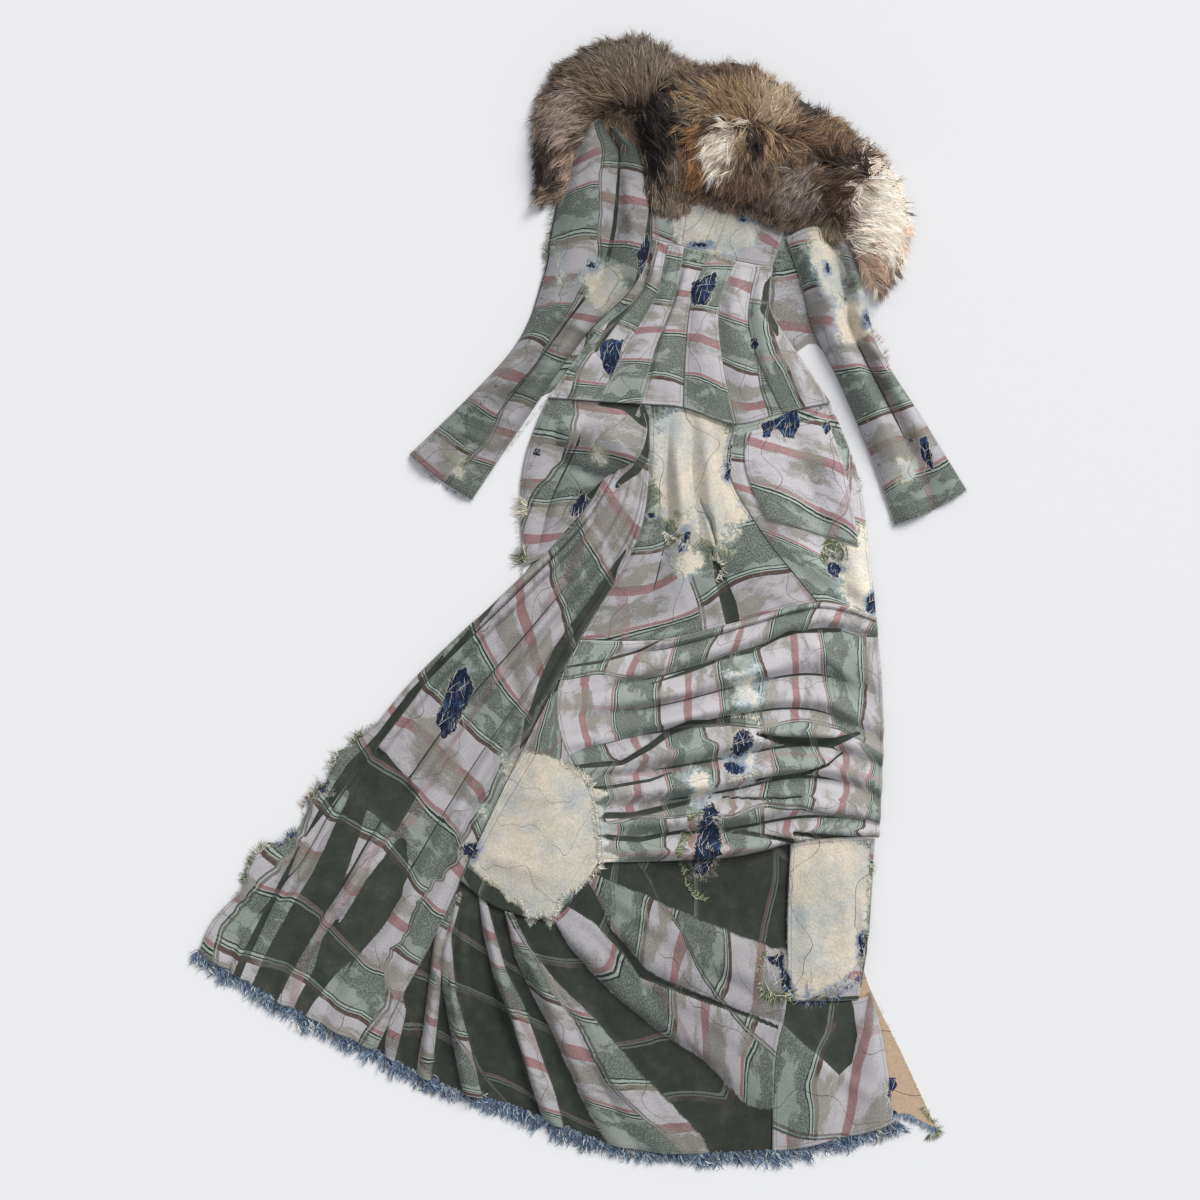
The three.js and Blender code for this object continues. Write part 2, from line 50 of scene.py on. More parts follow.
floor_mesh = bmesh.new()
bmesh.ops.create_grid(floor_mesh, x_segments=1, y_segments=1, size=6)
floor_data = bpy.data.meshes.new("table_top")
floor_mesh.to_mesh(floor_data)
floor_mesh.free()
table_top = bpy.data.objects.new("table_top", floor_data)
bpy.context.collection.objects.link(table_top)
paint = bpy.data.materials.new("White table")
paint.use_nodes = True
paint.node_tree.nodes["Principled BSDF"].inputs["Base Color"].default_value = (0.86, 0.865, 0.885, 1)
paint.node_tree.nodes["Principled BSDF"].inputs["Roughness"].default_value = 0.75
floor_data.materials.append(paint)

lens = bpy.data.cameras.new("camera")
lens.sensor_width = SENSOR * 1000
lens.lens = SENSOR * 1000 * VIEW_HEIGHT / VIEW_WIDTH
camera = bpy.data.objects.new("camera", lens)
camera.location = (0.0288, 0.0048, VIEW_HEIGHT)
bpy.context.collection.objects.link(camera)
bpy.context.scene.camera = camera

sun = bpy.data.lights.new("window", "SUN")
sun.energy = 2.75
sun.angle = 0.5
sun.color = (1.0, 0.985, 0.96)
window = bpy.data.objects.new("window", sun)
window.rotation_euler = (-Vector((0.8, 1.0, 0.98))).to_track_quat("-Z", "Y").to_euler()
bpy.context.collection.objects.link(window)
world = bpy.data.worlds.new("room")
world.use_nodes = True
world.node_tree.nodes["Background"].inputs["Color"].default_value = (0.95, 0.965, 1.0, 1)
world.node_tree.nodes["Background"].inputs["Strength"].default_value = 0.47
bpy.context.scene.world = world
bpy.context.scene.view_settings.view_transform = "Standard"

# The cloth of the coat: a heavy jacquard denim in a soft windowpane check, quilted with a wandering
# brown thread, rubbed down to its cream cotton in places and torn through to indigo in others.
CLOTH = 0.0016  # how thick the denim is
SEAM_GAP = 0.0003
LAYER = CLOTH + SEAM_GAP  # from one layer of the coat up to the next


def wire(tree, kind, inputs=None, **settings):
    """Adds a node, sets it, and joins or sets its sockets by name or number."""
    node = tree.nodes.new(kind)
    for key, value in settings.items():
        setattr(node, key, value)
    for socket, source in (inputs or {}).items():
        if isinstance(source, bpy.types.NodeSocket):
            tree.links.new(source, node.inputs[socket])
        else:
            node.inputs[socket].default_value = source
    return node


def maths(tree, operation, first, second=0.0):
    return wire(tree, "ShaderNodeMath", {0: first, 1: second}, operation=operation).outputs[0]


def blend(tree, share, first, second, kind="MIX"):
    return wire(tree, "ShaderNodeMix", {0: share, 6: first, 7: second},
                data_type="RGBA", blend_type=kind).outputs[2]


def noise(tree, vector, scale, detail=2.0, roughness=0.5):
    return wire(tree, "ShaderNodeTexNoise",
                {"Vector": vector, "Scale": scale, "Detail": detail, "Roughness": roughness})


def ramp(tree, share, stops, interpolation="LINEAR"):
    """A colour ramp from rows of place, red, green, blue."""
    node = wire(tree, "ShaderNodeValToRGB", {0: share})
    node.color_ramp.interpolation = interpolation
    elements = node.color_ramp.elements
    while len(elements) < len(stops):
        elements.new(0.5)
    for element, (place, colour) in zip(elements, stops):
        element.position = place
        element.color = colour
    return node


def tone(code):
    """A scene colour from a screen colour such as 0x84908a."""
    parts = [(code >> shift & 255) / 255 for shift in (16, 8, 0)]
    return (*[part / 12.92 if part < 0.04045 else ((part + 0.055) / 1.055) ** 2.4 for part in parts], 1.0)


def grey(value):
    return (value, value, value, 1)


LAVENDER, SAGE, TAUPE, OLIVE = tone(0xbab7bb), tone(0x929c95), tone(0x949086), tone(0x3b4139)
PINK, BROWN, BLACK_GREEN, AQUA = tone(0x9f7b7d), tone(0x5a4a45), tone(0x2c332f), tone(0xa6b2aa)
CREAM, FADED_BLUE, INDIGO = tone(0xe0d6c3), tone(0xa5b5be), tone(0x0f1a33)
YELLOW_GREEN, THREAD_BROWN = tone(0xa3a886), tone(0x5c463f)
BAND_REPEAT = 0.25  # metres of cloth from one set of bands to the next
COLUMN_REPEAT = 0.3

# Each band across the cloth: where it starts in the repeat, its colour, and how rough its weave is.
bands = [
    (0.0, LAVENDER, 0.12), (0.22, PINK, 0.3), (0.29, LAVENDER, 0.35), (0.548, PINK, 0.2),
    (0.572, AQUA, 0.1), (0.582, BLACK_GREEN, 0.1), (0.59, AQUA, 0.1), (0.602, BLACK_GREEN, 0.1),
    (0.611, SAGE, 1.0), (0.928, BLACK_GREEN, 0.1), (0.936, AQUA, 0.1), (0.95, BLACK_GREEN, 0.1),
    (0.958, AQUA, 0.1), (0.967, BROWN, 0.2),
]
LINE_WEAVES = (0.1, 0.2)  # the weaves of the narrow lines among the bands

# Each column down the cloth: where it starts in the repeat, its colour and how much of it covers.
columns = [
    (0.0, BLACK_GREEN[:3] + (0.75,)), (0.008, AQUA[:3] + (0.7,)), (0.018, BROWN[:3] + (0.7,)),
    (0.034, TAUPE[:3] + (0.0,)), (0.56, PINK[:3] + (0.45,)), (0.61, LAVENDER[:3] + (0.0,)),
]

check = bpy.data.node_groups.new("Woven check", "ShaderNodeTree")
check.interface.new_socket(name="Place", in_out="INPUT", socket_type="NodeSocketVector")
for socket, kind in [("Color", "Color"), ("Height", "Float"), ("Stitch", "Float"), ("Lines", "Float")]:
    check.interface.new_socket(name=socket, in_out="OUTPUT", socket_type="NodeSocket" + kind)
place_in = wire(check, "NodeGroupInput").outputs["Place"]


def shaken(tree, vector, scale, amount, detail):
    """The vector, moved about by a noise of the given scale, by up to half the amount."""
    shake = wire(tree, "ShaderNodeVectorMath", {0: noise(tree, vector, scale, detail).outputs["Color"],
                                                1: (0.5, 0.5, 0.5)}, operation="SUBTRACT").outputs[0]
    return wire(tree, "ShaderNodeVectorMath", {0: shake, 1: (amount, amount, amount), 2: vector},
                operation="MULTIPLY_ADD").outputs[0]


bent = shaken(check, shaken(check, place_in, 5.0, 0.085, 1.0), 60, 0.0035, 2.0)
across, along, _ = wire(check, "ShaderNodeSeparateXYZ", {0: bent}).outputs
column = maths(check, "DIVIDE", across, COLUMN_REPEAT)
parity = maths(check, "MODULO", maths(check, "FLOOR", maths(check, "ADD", column, 100.0)), 2.0)
shifted = maths(check, "ADD", maths(check, "MULTIPLY", parity, 0.43 * BAND_REPEAT), along)
band_place = maths(check, "FRACT", maths(check, "DIVIDE", shifted, BAND_REPEAT))
band_colour = ramp(check, band_place, [(at, colour) for at, colour, _ in bands], "CONSTANT").outputs[0]
rough_weave = ramp(check, band_place, [(at, grey(rough)) for at, _, rough in bands], "CONSTANT").outputs[0]
column_ramp = ramp(check, maths(check, "FRACT", column), columns, "CONSTANT")
line_stops = [(at, grey(float(rough in LINE_WEAVES))) for at, _, rough in bands]
band_lines = ramp(check, band_place, line_stops, "CONSTANT").outputs[0]
lines = maths(check, "MAXIMUM", band_lines, maths(check, "GREATER_THAN", column_ramp.outputs[1], 0.5))
lined = blend(check, column_ramp.outputs[1], band_colour, column_ramp.outputs[0])

# Brushwork: taupe washes over the pale bands and near black stipple over the green ones.
unsteady = shaken(check, place_in, 40, 0.03, 2.0)
long_strokes = wire(check, "ShaderNodeMapping",
                    {"Vector": unsteady, "Rotation": (0, 0, 0.5), "Scale": (7.0, 19.0, 1.0)}).outputs[0]
stroke = noise(check, long_strokes, 1.0, 6, 0.62).outputs[0]
washed = blend(check, ramp(check, stroke, [(0.5, grey(0)), (0.56, grey(0.8))]).outputs[0], lined, TAUPE)
pale_band = maths(check, "LESS_THAN", rough_weave, 0.5)
washed = blend(check, maths(check, "MULTIPLY", pale_band, maths(check, "GREATER_THAN", rough_weave, 0.11)),
               lined, washed)
brushed = ramp(check, stroke, [(0.46, grey(0)), (0.5, grey(1))]).outputs[0]
grain = noise(check, place_in, 420, 3, 0.7).outputs[0]
speckle = ramp(check, grain, [(0.4, grey(0.25)), (0.56, grey(1))]).outputs[0]
dark_brush = maths(check, "MULTIPLY", maths(check, "MULTIPLY", brushed, rough_weave), speckle)
overdyed = blend(check, maths(check, "MULTIPLY", dark_brush, 0.8), washed, OLIVE)
fleck = ramp(check, grain, [(0.5, grey(0)), (0.64, grey(1))]).outputs[0]
stippled = blend(check, maths(check, "MULTIPLY", fleck, 0.3), overdyed, BLACK_GREEN)
pale_flecks = ramp(check, noise(check, place_in, 160, 6, 0.72).outputs[0],
                   [(0.56, grey(0)), (0.68, grey(1))]).outputs[0]
flecked = blend(check, maths(check, "MULTIPLY", pale_flecks, 0.28), stippled, tone(0xc2c4bd))

# The quilting: rows of brown thread that wander in a long and a short wave.
STITCH_GAP = 0.105  # metres between the rows
long_wave = maths(check, "MULTIPLY", maths(check, "SINE", maths(check, "MULTIPLY", along, 34.0)), 0.022)
short_wave = maths(check, "MULTIPLY", maths(check, "SINE", maths(check, "MULTIPLY", along, 91.0)), 0.006)
wander = maths(check, "ADD", long_wave, short_wave)
rows_across = maths(check, "DIVIDE", maths(check, "ADD", across, wander), STITCH_GAP)
stitch_place = maths(check, "FRACT", rows_across)
off_stitch = maths(check, "ABSOLUTE", maths(check, "SUBTRACT", stitch_place, 0.5))
stitch = maths(check, "LESS_THAN", off_stitch, 0.0055)
twill = wire(check, "ShaderNodeTexWave", {"Vector": place_in, "Scale": 190.0, "Distortion": 1.0},
             bands_direction="DIAGONAL").outputs["Fac"]
raised = maths(check, "ADD", maths(check, "MULTIPLY", grain, 0.9), maths(check, "MULTIPLY", twill, 0.2))
check_height = maths(check, "SUBTRACT", raised, maths(check, "MULTIPLY", stitch, 0.7))
wire(check, "NodeGroupOutput", {"Color": flecked, "Height": check_height, "Stitch": stitch, "Lines": lines})

# Rubbed and torn cloth, and painted shade in folds and gaps, are one effect for all the pieces: their points
# say where it is worn and where shade is painted.
worn = bpy.data.node_groups.new("Worn and shaded denim", "ShaderNodeTree")
for socket in ["Color", "Height", "Stitch", "Lines", "Cream", "Rip", "Dark", "Seam", "Fade"]:
    kind = "NodeSocketColor" if socket == "Color" else "NodeSocketFloat"
    worn.interface.new_socket(name=socket, in_out="INPUT", socket_type=kind)
for socket, kind in [("Color", "Color"), ("Height", "Float")]:
    worn.interface.new_socket(name=socket, in_out="OUTPUT", socket_type="NodeSocket" + kind)
worn_in = wire(worn, "NodeGroupInput").outputs
spot = wire(worn, "ShaderNodeTexCoord").outputs["Object"]
ragged = maths(worn, "SUBTRACT", noise(worn, spot, 38, 6, 0.66).outputs[0], 0.5)
fibrous = maths(worn, "SUBTRACT", noise(worn, spot, 240, 5, 0.7).outputs[0], 0.5)
edge = maths(worn, "ADD", maths(worn, "MULTIPLY", ragged, 0.85), maths(worn, "MULTIPLY", fibrous, 0.4))

# Broad olive fields of the check, with its double lines still to be seen in them: partly olive cloth, partly
# painted shade in valleys and gaps.
olive_and_shade_share = ramp(worn, maths(worn, "ADD", worn_in["Dark"], maths(worn, "MULTIPLY", edge, 0.12)),
                   [(0.48, grey(0)), (0.51, grey(1))]).outputs[0]
beside_lines = maths(worn, "SUBTRACT", 1.0, maths(worn, "MULTIPLY", worn_in["Lines"], 0.34))
olive_and_shade_share = maths(worn, "MULTIPLY", olive_and_shade_share, beside_lines)
olive_tone = ramp(worn, noise(worn, spot, 30, 6, 0.72).outputs[0],
                  [(0.3, tone(0x2f352f)), (0.55, tone(0x3d433c)), (0.72, tone(0x514f48))]).outputs[0]
valley_olive_and_shade = blend(worn, olive_and_shade_share, worn_in["Color"], olive_tone)

# Rubbed places: a green or blue halo, then bare cream cotton with faint blue stains.
halo = ramp(worn, maths(worn, "ADD", worn_in["Cream"], edge), [(0.34, grey(0)), (0.47, grey(1))]).outputs[0]
halo_tint = ramp(worn, noise(worn, spot, 9, 3).outputs[0], [(0.42, grey(0)), (0.58, grey(1))]).outputs[0]
green_or_blue = blend(worn, halo_tint, YELLOW_GREEN, FADED_BLUE)
rubbed = blend(worn, maths(worn, "MULTIPLY", halo, 0.8), valley_olive_and_shade, green_or_blue)
bare = ramp(worn, maths(worn, "ADD", worn_in["Cream"], edge), [(0.45, grey(0)), (0.52, grey(1))]).outputs[0]
stain = ramp(worn, noise(worn, spot, 11, 7, 0.68).outputs[0],
             [(0.42, grey(0)), (0.7, grey(0.85))]).outputs[0]
cotton = blend(worn, stain, CREAM, FADED_BLUE)
linen = ramp(worn, maths(worn, "ADD", fibrous, 0.5), [(0.38, grey(0.84)), (0.62, grey(1.06))]).outputs[0]
cotton = blend(worn, 1.0, cotton, linen, "MULTIPLY")
creamy = blend(worn, bare, rubbed, cotton)
sewn = blend(worn, maths(worn, "MULTIPLY", worn_in["Stitch"], 0.75), creamy, THREAD_BROWN)

# A felled seam: a rubbed pale edge and a row of thread a little way in.
SEAM_EDGE, ROW_INSET, ROW_HALF = 0.0011, 0.0062, 0.0006
fuzzy_gap = maths(worn, "ADD", worn_in["Seam"], maths(worn, "MULTIPLY", fibrous, 0.002))
near_seam = maths(worn, "LESS_THAN", fuzzy_gap, SEAM_EDGE)
piped = blend(worn, maths(worn, "MULTIPLY", near_seam, 0.55), sewn, tone(0xb0b6b2))
row_gap = maths(worn, "ABSOLUTE", maths(worn, "SUBTRACT", worn_in["Seam"], ROW_INSET))
row = maths(worn, "MULTIPLY", maths(worn, "LESS_THAN", row_gap, ROW_HALF), 0.5)
seamed = blend(worn, row, piped, THREAD_BROWN)

# A rip: lint and pulled weft round its edge, a blue haze where the cotton is bare, and indigo in it.
unsteady = shaken(worn, spot, 90, 0.01, 2.0)
broken = maths(worn, "SUBTRACT", noise(worn, unsteady, 26, 8, 0.74).outputs[0], 0.5)
torn_edge = maths(worn, "ADD", maths(worn, "MULTIPLY", broken, 1.4), maths(worn, "MULTIPLY", fibrous, 0.45))
tear = maths(worn, "ADD", worn_in["Rip"], torn_edge)
tear = maths(worn, "MULTIPLY", tear, maths(worn, "GREATER_THAN", worn_in["Rip"], 0.06))
frayed = ramp(worn, tear, [(0.42, grey(0)), (0.48, grey(1))]).outputs[0]
frayed = maths(worn, "MULTIPLY", frayed, ramp(worn, noise(worn, spot, 55, 3).outputs[0],
                                              [(0.4, grey(0.15)), (0.6, grey(1))]).outputs[0])
haze = ramp(worn, maths(worn, "ADD", tear, maths(worn, "MULTIPLY", ragged, 1.1)),
            [(0.26, grey(0)), (0.52, grey(0.75))]).outputs[0]
hazy = blend(worn, maths(worn, "MULTIPLY", bare, haze), seamed, tone(0x5f7a9f))
lint_share = maths(worn, "SUBTRACT", 0.75, maths(worn, "MULTIPLY", bare, 0.6))
lint = blend(worn, maths(worn, "MULTIPLY", frayed, lint_share), hazy, tone(0xbdb9a9))
threads = wire(worn, "ShaderNodeMapping",
               {"Vector": spot, "Rotation": (0, 0, 0.35), "Scale": (420.0, 45.0, 1.0)}).outputs[0]
thread_mask = ramp(worn, noise(worn, threads, 1.0, 3, 0.6).outputs[0],
                   [(0.55, grey(0)), (0.65, grey(1))]).outputs[0]
hole = ramp(worn, tear, [(0.53, grey(0)), (0.58, grey(1))]).outputs[0]
blue = ramp(worn, noise(worn, spot, 90, 6, 0.7).outputs[0],
            [(0.5, INDIGO), (0.62, tone(0x263c63)), (0.78, tone(0x8296b0))]).outputs[0]
faded = blend(worn, maths(worn, "MULTIPLY", thread_mask, 0.3), blue, tone(0x8fa0b5))
torn = blend(worn, hole, lint, faded)
patchy = ramp(worn, noise(worn, spot, 4.5, 3).outputs[0], [(0.3, grey(0.9)), (0.7, grey(1.06))]).outputs[0]
aged = blend(worn, 1.0, torn, patchy, "MULTIPLY")
aged = wire(worn, "ShaderNodeVectorMath", {0: aged, "Scale": worn_in["Fade"]}, operation="SCALE").outputs[0]
level = maths(worn, "SUBTRACT", worn_in["Height"], maths(worn, "MULTIPLY", hole, 1.6))
fuzzy = maths(worn, "ADD", level, maths(worn, "MULTIPLY", maths(worn, "MULTIPLY", fibrous, 2.2), halo))
wire(worn, "NodeGroupOutput", {"Color": aged, "Height": fuzzy})


def named_attribute(tree, name):
    return wire(tree, "ShaderNodeAttribute", attribute_name=name).outputs["Fac"]


def denim(name, from_map=True, fade=1.0):
    """A material of the check, worn and darkened by painted shade where the piece's points say; CAD pieces
    take it by their place.
    """
    material = bpy.data.materials.new(name)
    material.use_nodes = True
    tree = material.node_tree
    if from_map:
        where = wire(tree, "ShaderNodeUVMap", uv_map="Cloth").outputs[0]
    else:
        where = wire(tree, "ShaderNodeTexCoord").outputs["Object"]
    cloth = wire(tree, "ShaderNodeGroup", node_tree=check)
    tree.links.new(where, cloth.inputs["Place"])
    wear = wire(tree, "ShaderNodeGroup", node_tree=worn)
    for socket in ["Color", "Height", "Stitch", "Lines"]:
        tree.links.new(cloth.outputs[socket], wear.inputs[socket])
    for socket in ["Cream", "Rip", "Dark"]:
        tree.links.new(named_attribute(tree, socket.lower()), wear.inputs[socket])
    wear.inputs["Seam"].default_value = 1.0
    wear.inputs["Fade"].default_value = fade
    if from_map:
        tree.links.new(named_attribute(tree, "seam"), wear.inputs["Seam"])
    shader = tree.nodes["Principled BSDF"]
    shader.inputs["Roughness"].default_value = 0.88
    shader.inputs["Sheen Weight"].default_value = 0.12
    shader.inputs["Specular IOR Level"].default_value = 0.25
    bump = wire(tree, "ShaderNodeBump",
                {"Height": wear.outputs["Height"], "Strength": 0.5, "Distance": 0.0012})
    tree.links.new(bump.outputs[0], shader.inputs["Normal"])
    tree.links.new(wear.outputs["Color"], shader.inputs["Base Color"])
    return material


jacquard = denim("Jacquard denim")
faded_jacquard = denim("Faded jacquard denim", fade=1.2)
sunned_jacquard = denim("Sunned jacquard denim", fade=1.36)
deep_jacquard = denim("Deep jacquard denim", fade=0.82)

# Where the cloth is worn. Places are on a plan of the coat from above, in squares of 1.6 mm, one to each
# pixel of the photograph. A place is its middle, half width, half height, turn in degrees and strength.
# An outline is its corners, over how many squares it fades, and its strength.
PLAN_SQUARE = 0.0016
PLAN_ORIGIN = (582, 603)
cream_places, cream_outlines = {}, {}

# Seams inside a piece are lines of the plan. Olive fields are partly the cloth's darker olive, where it
# turns over in its folds, and partly painted shade in valleys, gaps and under overhangs; they are bands of
# points with a half width at each, or outlines. Each piece's section gives its own.
inner_seams, olive_and_shade_bands, olive_and_shade_outlines = {}, {}, {}

# The rips of the whole coat, small ones as places and larger ones as outlines.
rip_places = [
    (826, 428, 5, 8, 0, 0.9), (617, 487, 5, 4, 0, 0.85), (538, 453, 4, 4, 0, 0.9),
    (741, 742, 10, 16, -20, 0.95), (706, 842, 13, 34, -6, 1.1), (753, 345, 6, 7, 0, 0.95),
    (833, 570, 7, 7, 0, 0.95), (873, 603, 7, 14, -20, 1.0), (893, 1088, 8, 14, -10, 1.0),
    (826, 270, 5, 6, 0, 0.8), (470, 848, 10, 9, 20, 0.9), (868, 320, 8, 8, 0, 0.8),
    (838, 405, 6, 5, 0, 0.9), (732, 768, 12, 8, 0, 0.8), (652, 515, 8, 8, 20, 0.72),
    (684, 540, 5, 16, -25, 0.85), (910, 440, 8, 5, 0, 0.8), (470, 448, 6, 4, 0, 0.7),
    (740, 216, 6, 16, 30, 0.62), (700, 245, 14, 4, 0, 0.6), (325, 785, 10, 14, 30, 0.8),
    (590, 268, 8, 6, 0, 0.7),
]
rip_outlines = [
    ([(691, 285), (701, 280), (715, 274), (712, 292), (707, 307), (693, 308), (690, 298)], 6, 1.15),
    ([(600, 347), (610, 341), (623, 342), (620, 358), (615, 372), (611, 381), (603, 371)], 6, 1.15),
    ([(760, 425), (778, 418), (796, 411), (799, 424), (793, 440), (783, 438), (774, 428), (769, 438),
      (763, 438)], 5, 1.15),
    ([(647, 234), (652, 255), (649, 279), (638, 274), (637, 256)], 5, 1.1),
    ([(568, 511), (582, 489), (590, 501), (577, 519)], 6, 1.05),
    ([(453, 678), (467, 664), (475, 688), (466, 711), (453, 731), (445, 739), (435, 720),
      (445, 698)], 7, 1.15),
    ([(918, 439), (925, 436), (929, 452), (932, 470), (921, 459)], 4, 1.1),
    ([(728, 434), (734, 440), (734, 470), (728, 487), (722, 478), (726, 455)], 7, 0.88),
    ([(854, 935), (860, 931), (865, 942), (864, 962), (857, 955)], 6, 0.95),
    ([(760, 950), (772, 953), (782, 949), (785, 966), (791, 984), (797, 998), (786, 996), (780, 988),
      (779, 968), (768, 962)], 7, 0.95),
    ([(800, 1000), (824, 984), (846, 974), (860, 967), (858, 977), (838, 989), (818, 1000)], 8, 0.62),
]


def plan(x, y):
    return (x - PLAN_ORIGIN[0]) * PLAN_SQUARE, (PLAN_ORIGIN[1] - y) * PLAN_SQUARE


def depth_inside(points, bands):
    """How far each point is inside each band: 0.5 on its outline, and more towards its middle."""
    depth = np.full((max(len(bands), 1), len(points)), -9.0)
    for number, band in enumerate(bands):
        for (x0, y0, first_width), (x1, y1, last_width) in zip(band, band[1:]):
            start, end = np.array(plan(x0, y0)), np.array(plan(x1, y1))
            way = end - start
            share = np.clip(((points - start) @ way) / (way @ way), 0, 1)
            off = np.linalg.norm(points - (start + share[:, None] * way), axis=1) / PLAN_SQUARE
            width = first_width + (last_width - first_width) * share
            depth[number] = np.maximum(depth[number], 1 - 0.5 * off / width)
    return depth


def outline_depth(points, corners):
    """How many squares each point is inside an outline of the plan; less than nothing is outside it."""
    near, enclosed = np.full(len(points), np.inf), np.zeros(len(points), bool)
    ring = np.array([plan(x, y) for x, y in corners])
    for start, end in zip(ring, np.roll(ring, -1, axis=0)):
        way = end - start
        share = np.clip(((points - start) @ way) / (way @ way), 0, 1)
        near = np.minimum(near, np.linalg.norm(points - (start + share[:, None] * way), axis=1))
        crossing = start[0] + (points[:, 1] - start[1]) * way[0] / (way[1] or 1e-9)
        enclosed ^= ((start[1] > points[:, 1]) != (end[1] > points[:, 1])) & (points[:, 0] < crossing)
    return np.where(enclosed, near, -near) / PLAN_SQUARE


def olive_and_shade_at(points, name):
    """How deep each point of a piece is in an olive field, partly olive cloth and partly painted shade, from
    0 to 1.
    """
    olive = depth_inside(points, olive_and_shade_bands.get(name, [])).max(axis=0)
    for corners in olive_and_shade_outlines.get(name, []):
        olive = np.maximum(olive, 0.5 + outline_depth(points, corners) / 14)
    if name == "pleated_fan":
        olive = np.maximum(olive, 1 - depth_inside(points, light_pleats).max(axis=0))
    return np.clip(olive, 0, 1)


def seam_gap(points, name):
    """How far each point is from the double row of a seam inside its piece."""
    gap = np.full(len(points), 1.0)
    for seam in inner_seams.get(name, []):
        for first, last in zip(seam, seam[1:]):
            start, way = np.array(plan(*first)), np.array(plan(*last)) - np.array(plan(*first))
            share = np.clip(((points - start) @ way) / (way @ way), 0, 1)
            off = np.linalg.norm(points - (start + share[:, None] * way), axis=1)
            gap = np.minimum(gap, np.abs(off - 0.0026))
    return gap


def strength(points, places, outlines):
    """How worn each point is: 0.5 on the outline of a place, more inside it."""
    total = np.zeros(len(points))
    for corners, soft, most in outlines:
        total = np.maximum(total, most * np.clip(0.5 + outline_depth(points, corners) / (2 * soft), 0, 1))
    for x, y, half_width, half_height, turn, most in places:
        middle = plan(x, y)
        c, s = math.cos(math.radians(turn)), math.sin(math.radians(turn))
        dx, dy = (points[:, 0] - middle[0]) / PLAN_SQUARE, (points[:, 1] - middle[1]) / PLAN_SQUARE
        reach = np.hypot((c * dx + s * dy) / half_width, (c * dy - s * dx) / half_height)
        total = np.maximum(total, most * np.clip(1 - 0.5 * reach, 0, 1))
    return total


# Creases of the whole coat, by the plan: both ends, half width in squares and height in
# millimetres.
creases = [
    (600, 128, 584, 300, 9, 5), (584, 300, 520, 385, 8, 4), (620, 150, 636, 250, 5, 5),
    (556, 318, 596, 338, 4, 4), (544, 340, 584, 356, 4, 4), (528, 362, 566, 372, 4, 3),
    (504, 386, 548, 404, 4, 4), (480, 408, 520, 424, 4, 3), (452, 428, 496, 446, 4, 4),
    (432, 446, 470, 470, 4, 3), (590, 140, 566, 220, 5, 3), (610, 200, 640, 230, 5, 4),
    (796, 246, 842, 330, 6, 5), (846, 262, 872, 322, 6, 5), (838, 300, 880, 340, 5, 5),
    (846, 350, 880, 420, 5, 5), (868, 396, 902, 470, 6, 4), (884, 470, 940, 452, 4, 4),
    (890, 492, 946, 474, 4, 3), (868, 352, 890, 362, 5, 6), (690, 256, 680, 300, 4, 3),
    (742, 268, 726, 330, 5, 4), (640, 318, 606, 384, 6, 4), (684, 330, 668, 400, 5, 4),
    (716, 320, 714, 396, 5, 3), (756, 330, 772, 396, 6, 5), (600, 338, 570, 396, 6, 4),
    (790, 360, 806, 404, 5, 4), (556, 430, 640, 450, 14, 16), (606, 430, 630, 462, 12, 12),
    (560, 470, 610, 500, 8, 6), (556, 520, 600, 516, 5, 3), (702, 410, 716, 566, 7, 7),
    (668, 426, 690, 548, 7, 6), (738, 440, 752, 560, 6, 3), (690, 560, 740, 640, 8, 5),
    (760, 452, 850, 468, 6, 3), (770, 500, 856, 520, 7, 4), (800, 560, 868, 596, 7, 5),
    (766, 590, 852, 628, 6, 4), (610, 560, 560, 650, 7, 4), (560, 600, 480, 700, 7, 4),
    (500, 640, 430, 730, 6, 3), (620, 640, 700, 610, 6, 4), (640, 700, 700, 690, 4, 4),
    (712, 676, 790, 668, 4, 4), (806, 640, 862, 690, 5, 5), (816, 690, 866, 730, 5, 5),
    (800, 780, 862, 800, 4, 4), (752, 700, 740, 770, 5, 3), (600, 770, 660, 766, 3, 3),
    (500, 790, 560, 800, 8, 3), (480, 850, 560, 880, 8, 3), (640, 900, 720, 970, 6, 3),
    (690, 1000, 760, 1060, 7, 3), (720, 900, 780, 930, 6, 4), (800, 860, 812, 980, 8, 2),
    (842, 850, 848, 980, 8, 2), (800, 1020, 860, 1040, 6, 4), (820, 1060, 880, 1100, 7, 5),
    (380, 930, 330, 1010, 6, 3), (340, 860, 290, 950, 6, 3), (430, 860, 400, 960, 6, 3),
    (560, 1040, 600, 1110, 6, 3), (860, 900, 868, 980, 3, 5), (690, 212, 700, 250, 5, 2),
    (750, 216, 744, 254, 5, 2), (351, 775, 246, 964, 6, 9), (391, 846, 318, 934, 6, 9),
    (318, 934, 288, 1000, 6, 8), (440, 931, 425, 1075, 5, 9), (446, 943, 471, 1090, 6, 10),
    (483, 900, 495, 949, 5, 9), (495, 949, 526, 1047, 7, 11), (526, 1047, 552, 1110, 8, 9),
    (504, 900, 520, 946, 5, 9), (520, 946, 563, 1016, 9, 10), (563, 1016, 625, 1100, 13, 10),
    (560, 922, 627, 986, 10, 9), (627, 986, 710, 1056, 12, 8), (600, 885, 690, 950, 9, 9),
    (690, 950, 770, 985, 12, 7), (560, 745, 640, 735, 6, 7), (640, 735, 720, 700, 7, 8),
    (600, 797, 700, 780, 5, 7), (590, 824, 690, 818, 5, 6), (600, 850, 700, 846, 6, 6),
    (740, 715, 850, 715, 8, 7), (740, 762, 850, 745, 7, 7), (740, 815, 860, 812, 8, 7),
    (590, 690, 650, 665, 6, 6), (650, 640, 740, 625, 6, 5), (740, 845, 790, 850, 5, 5),
    (770, 640, 860, 650, 7, 6),
]


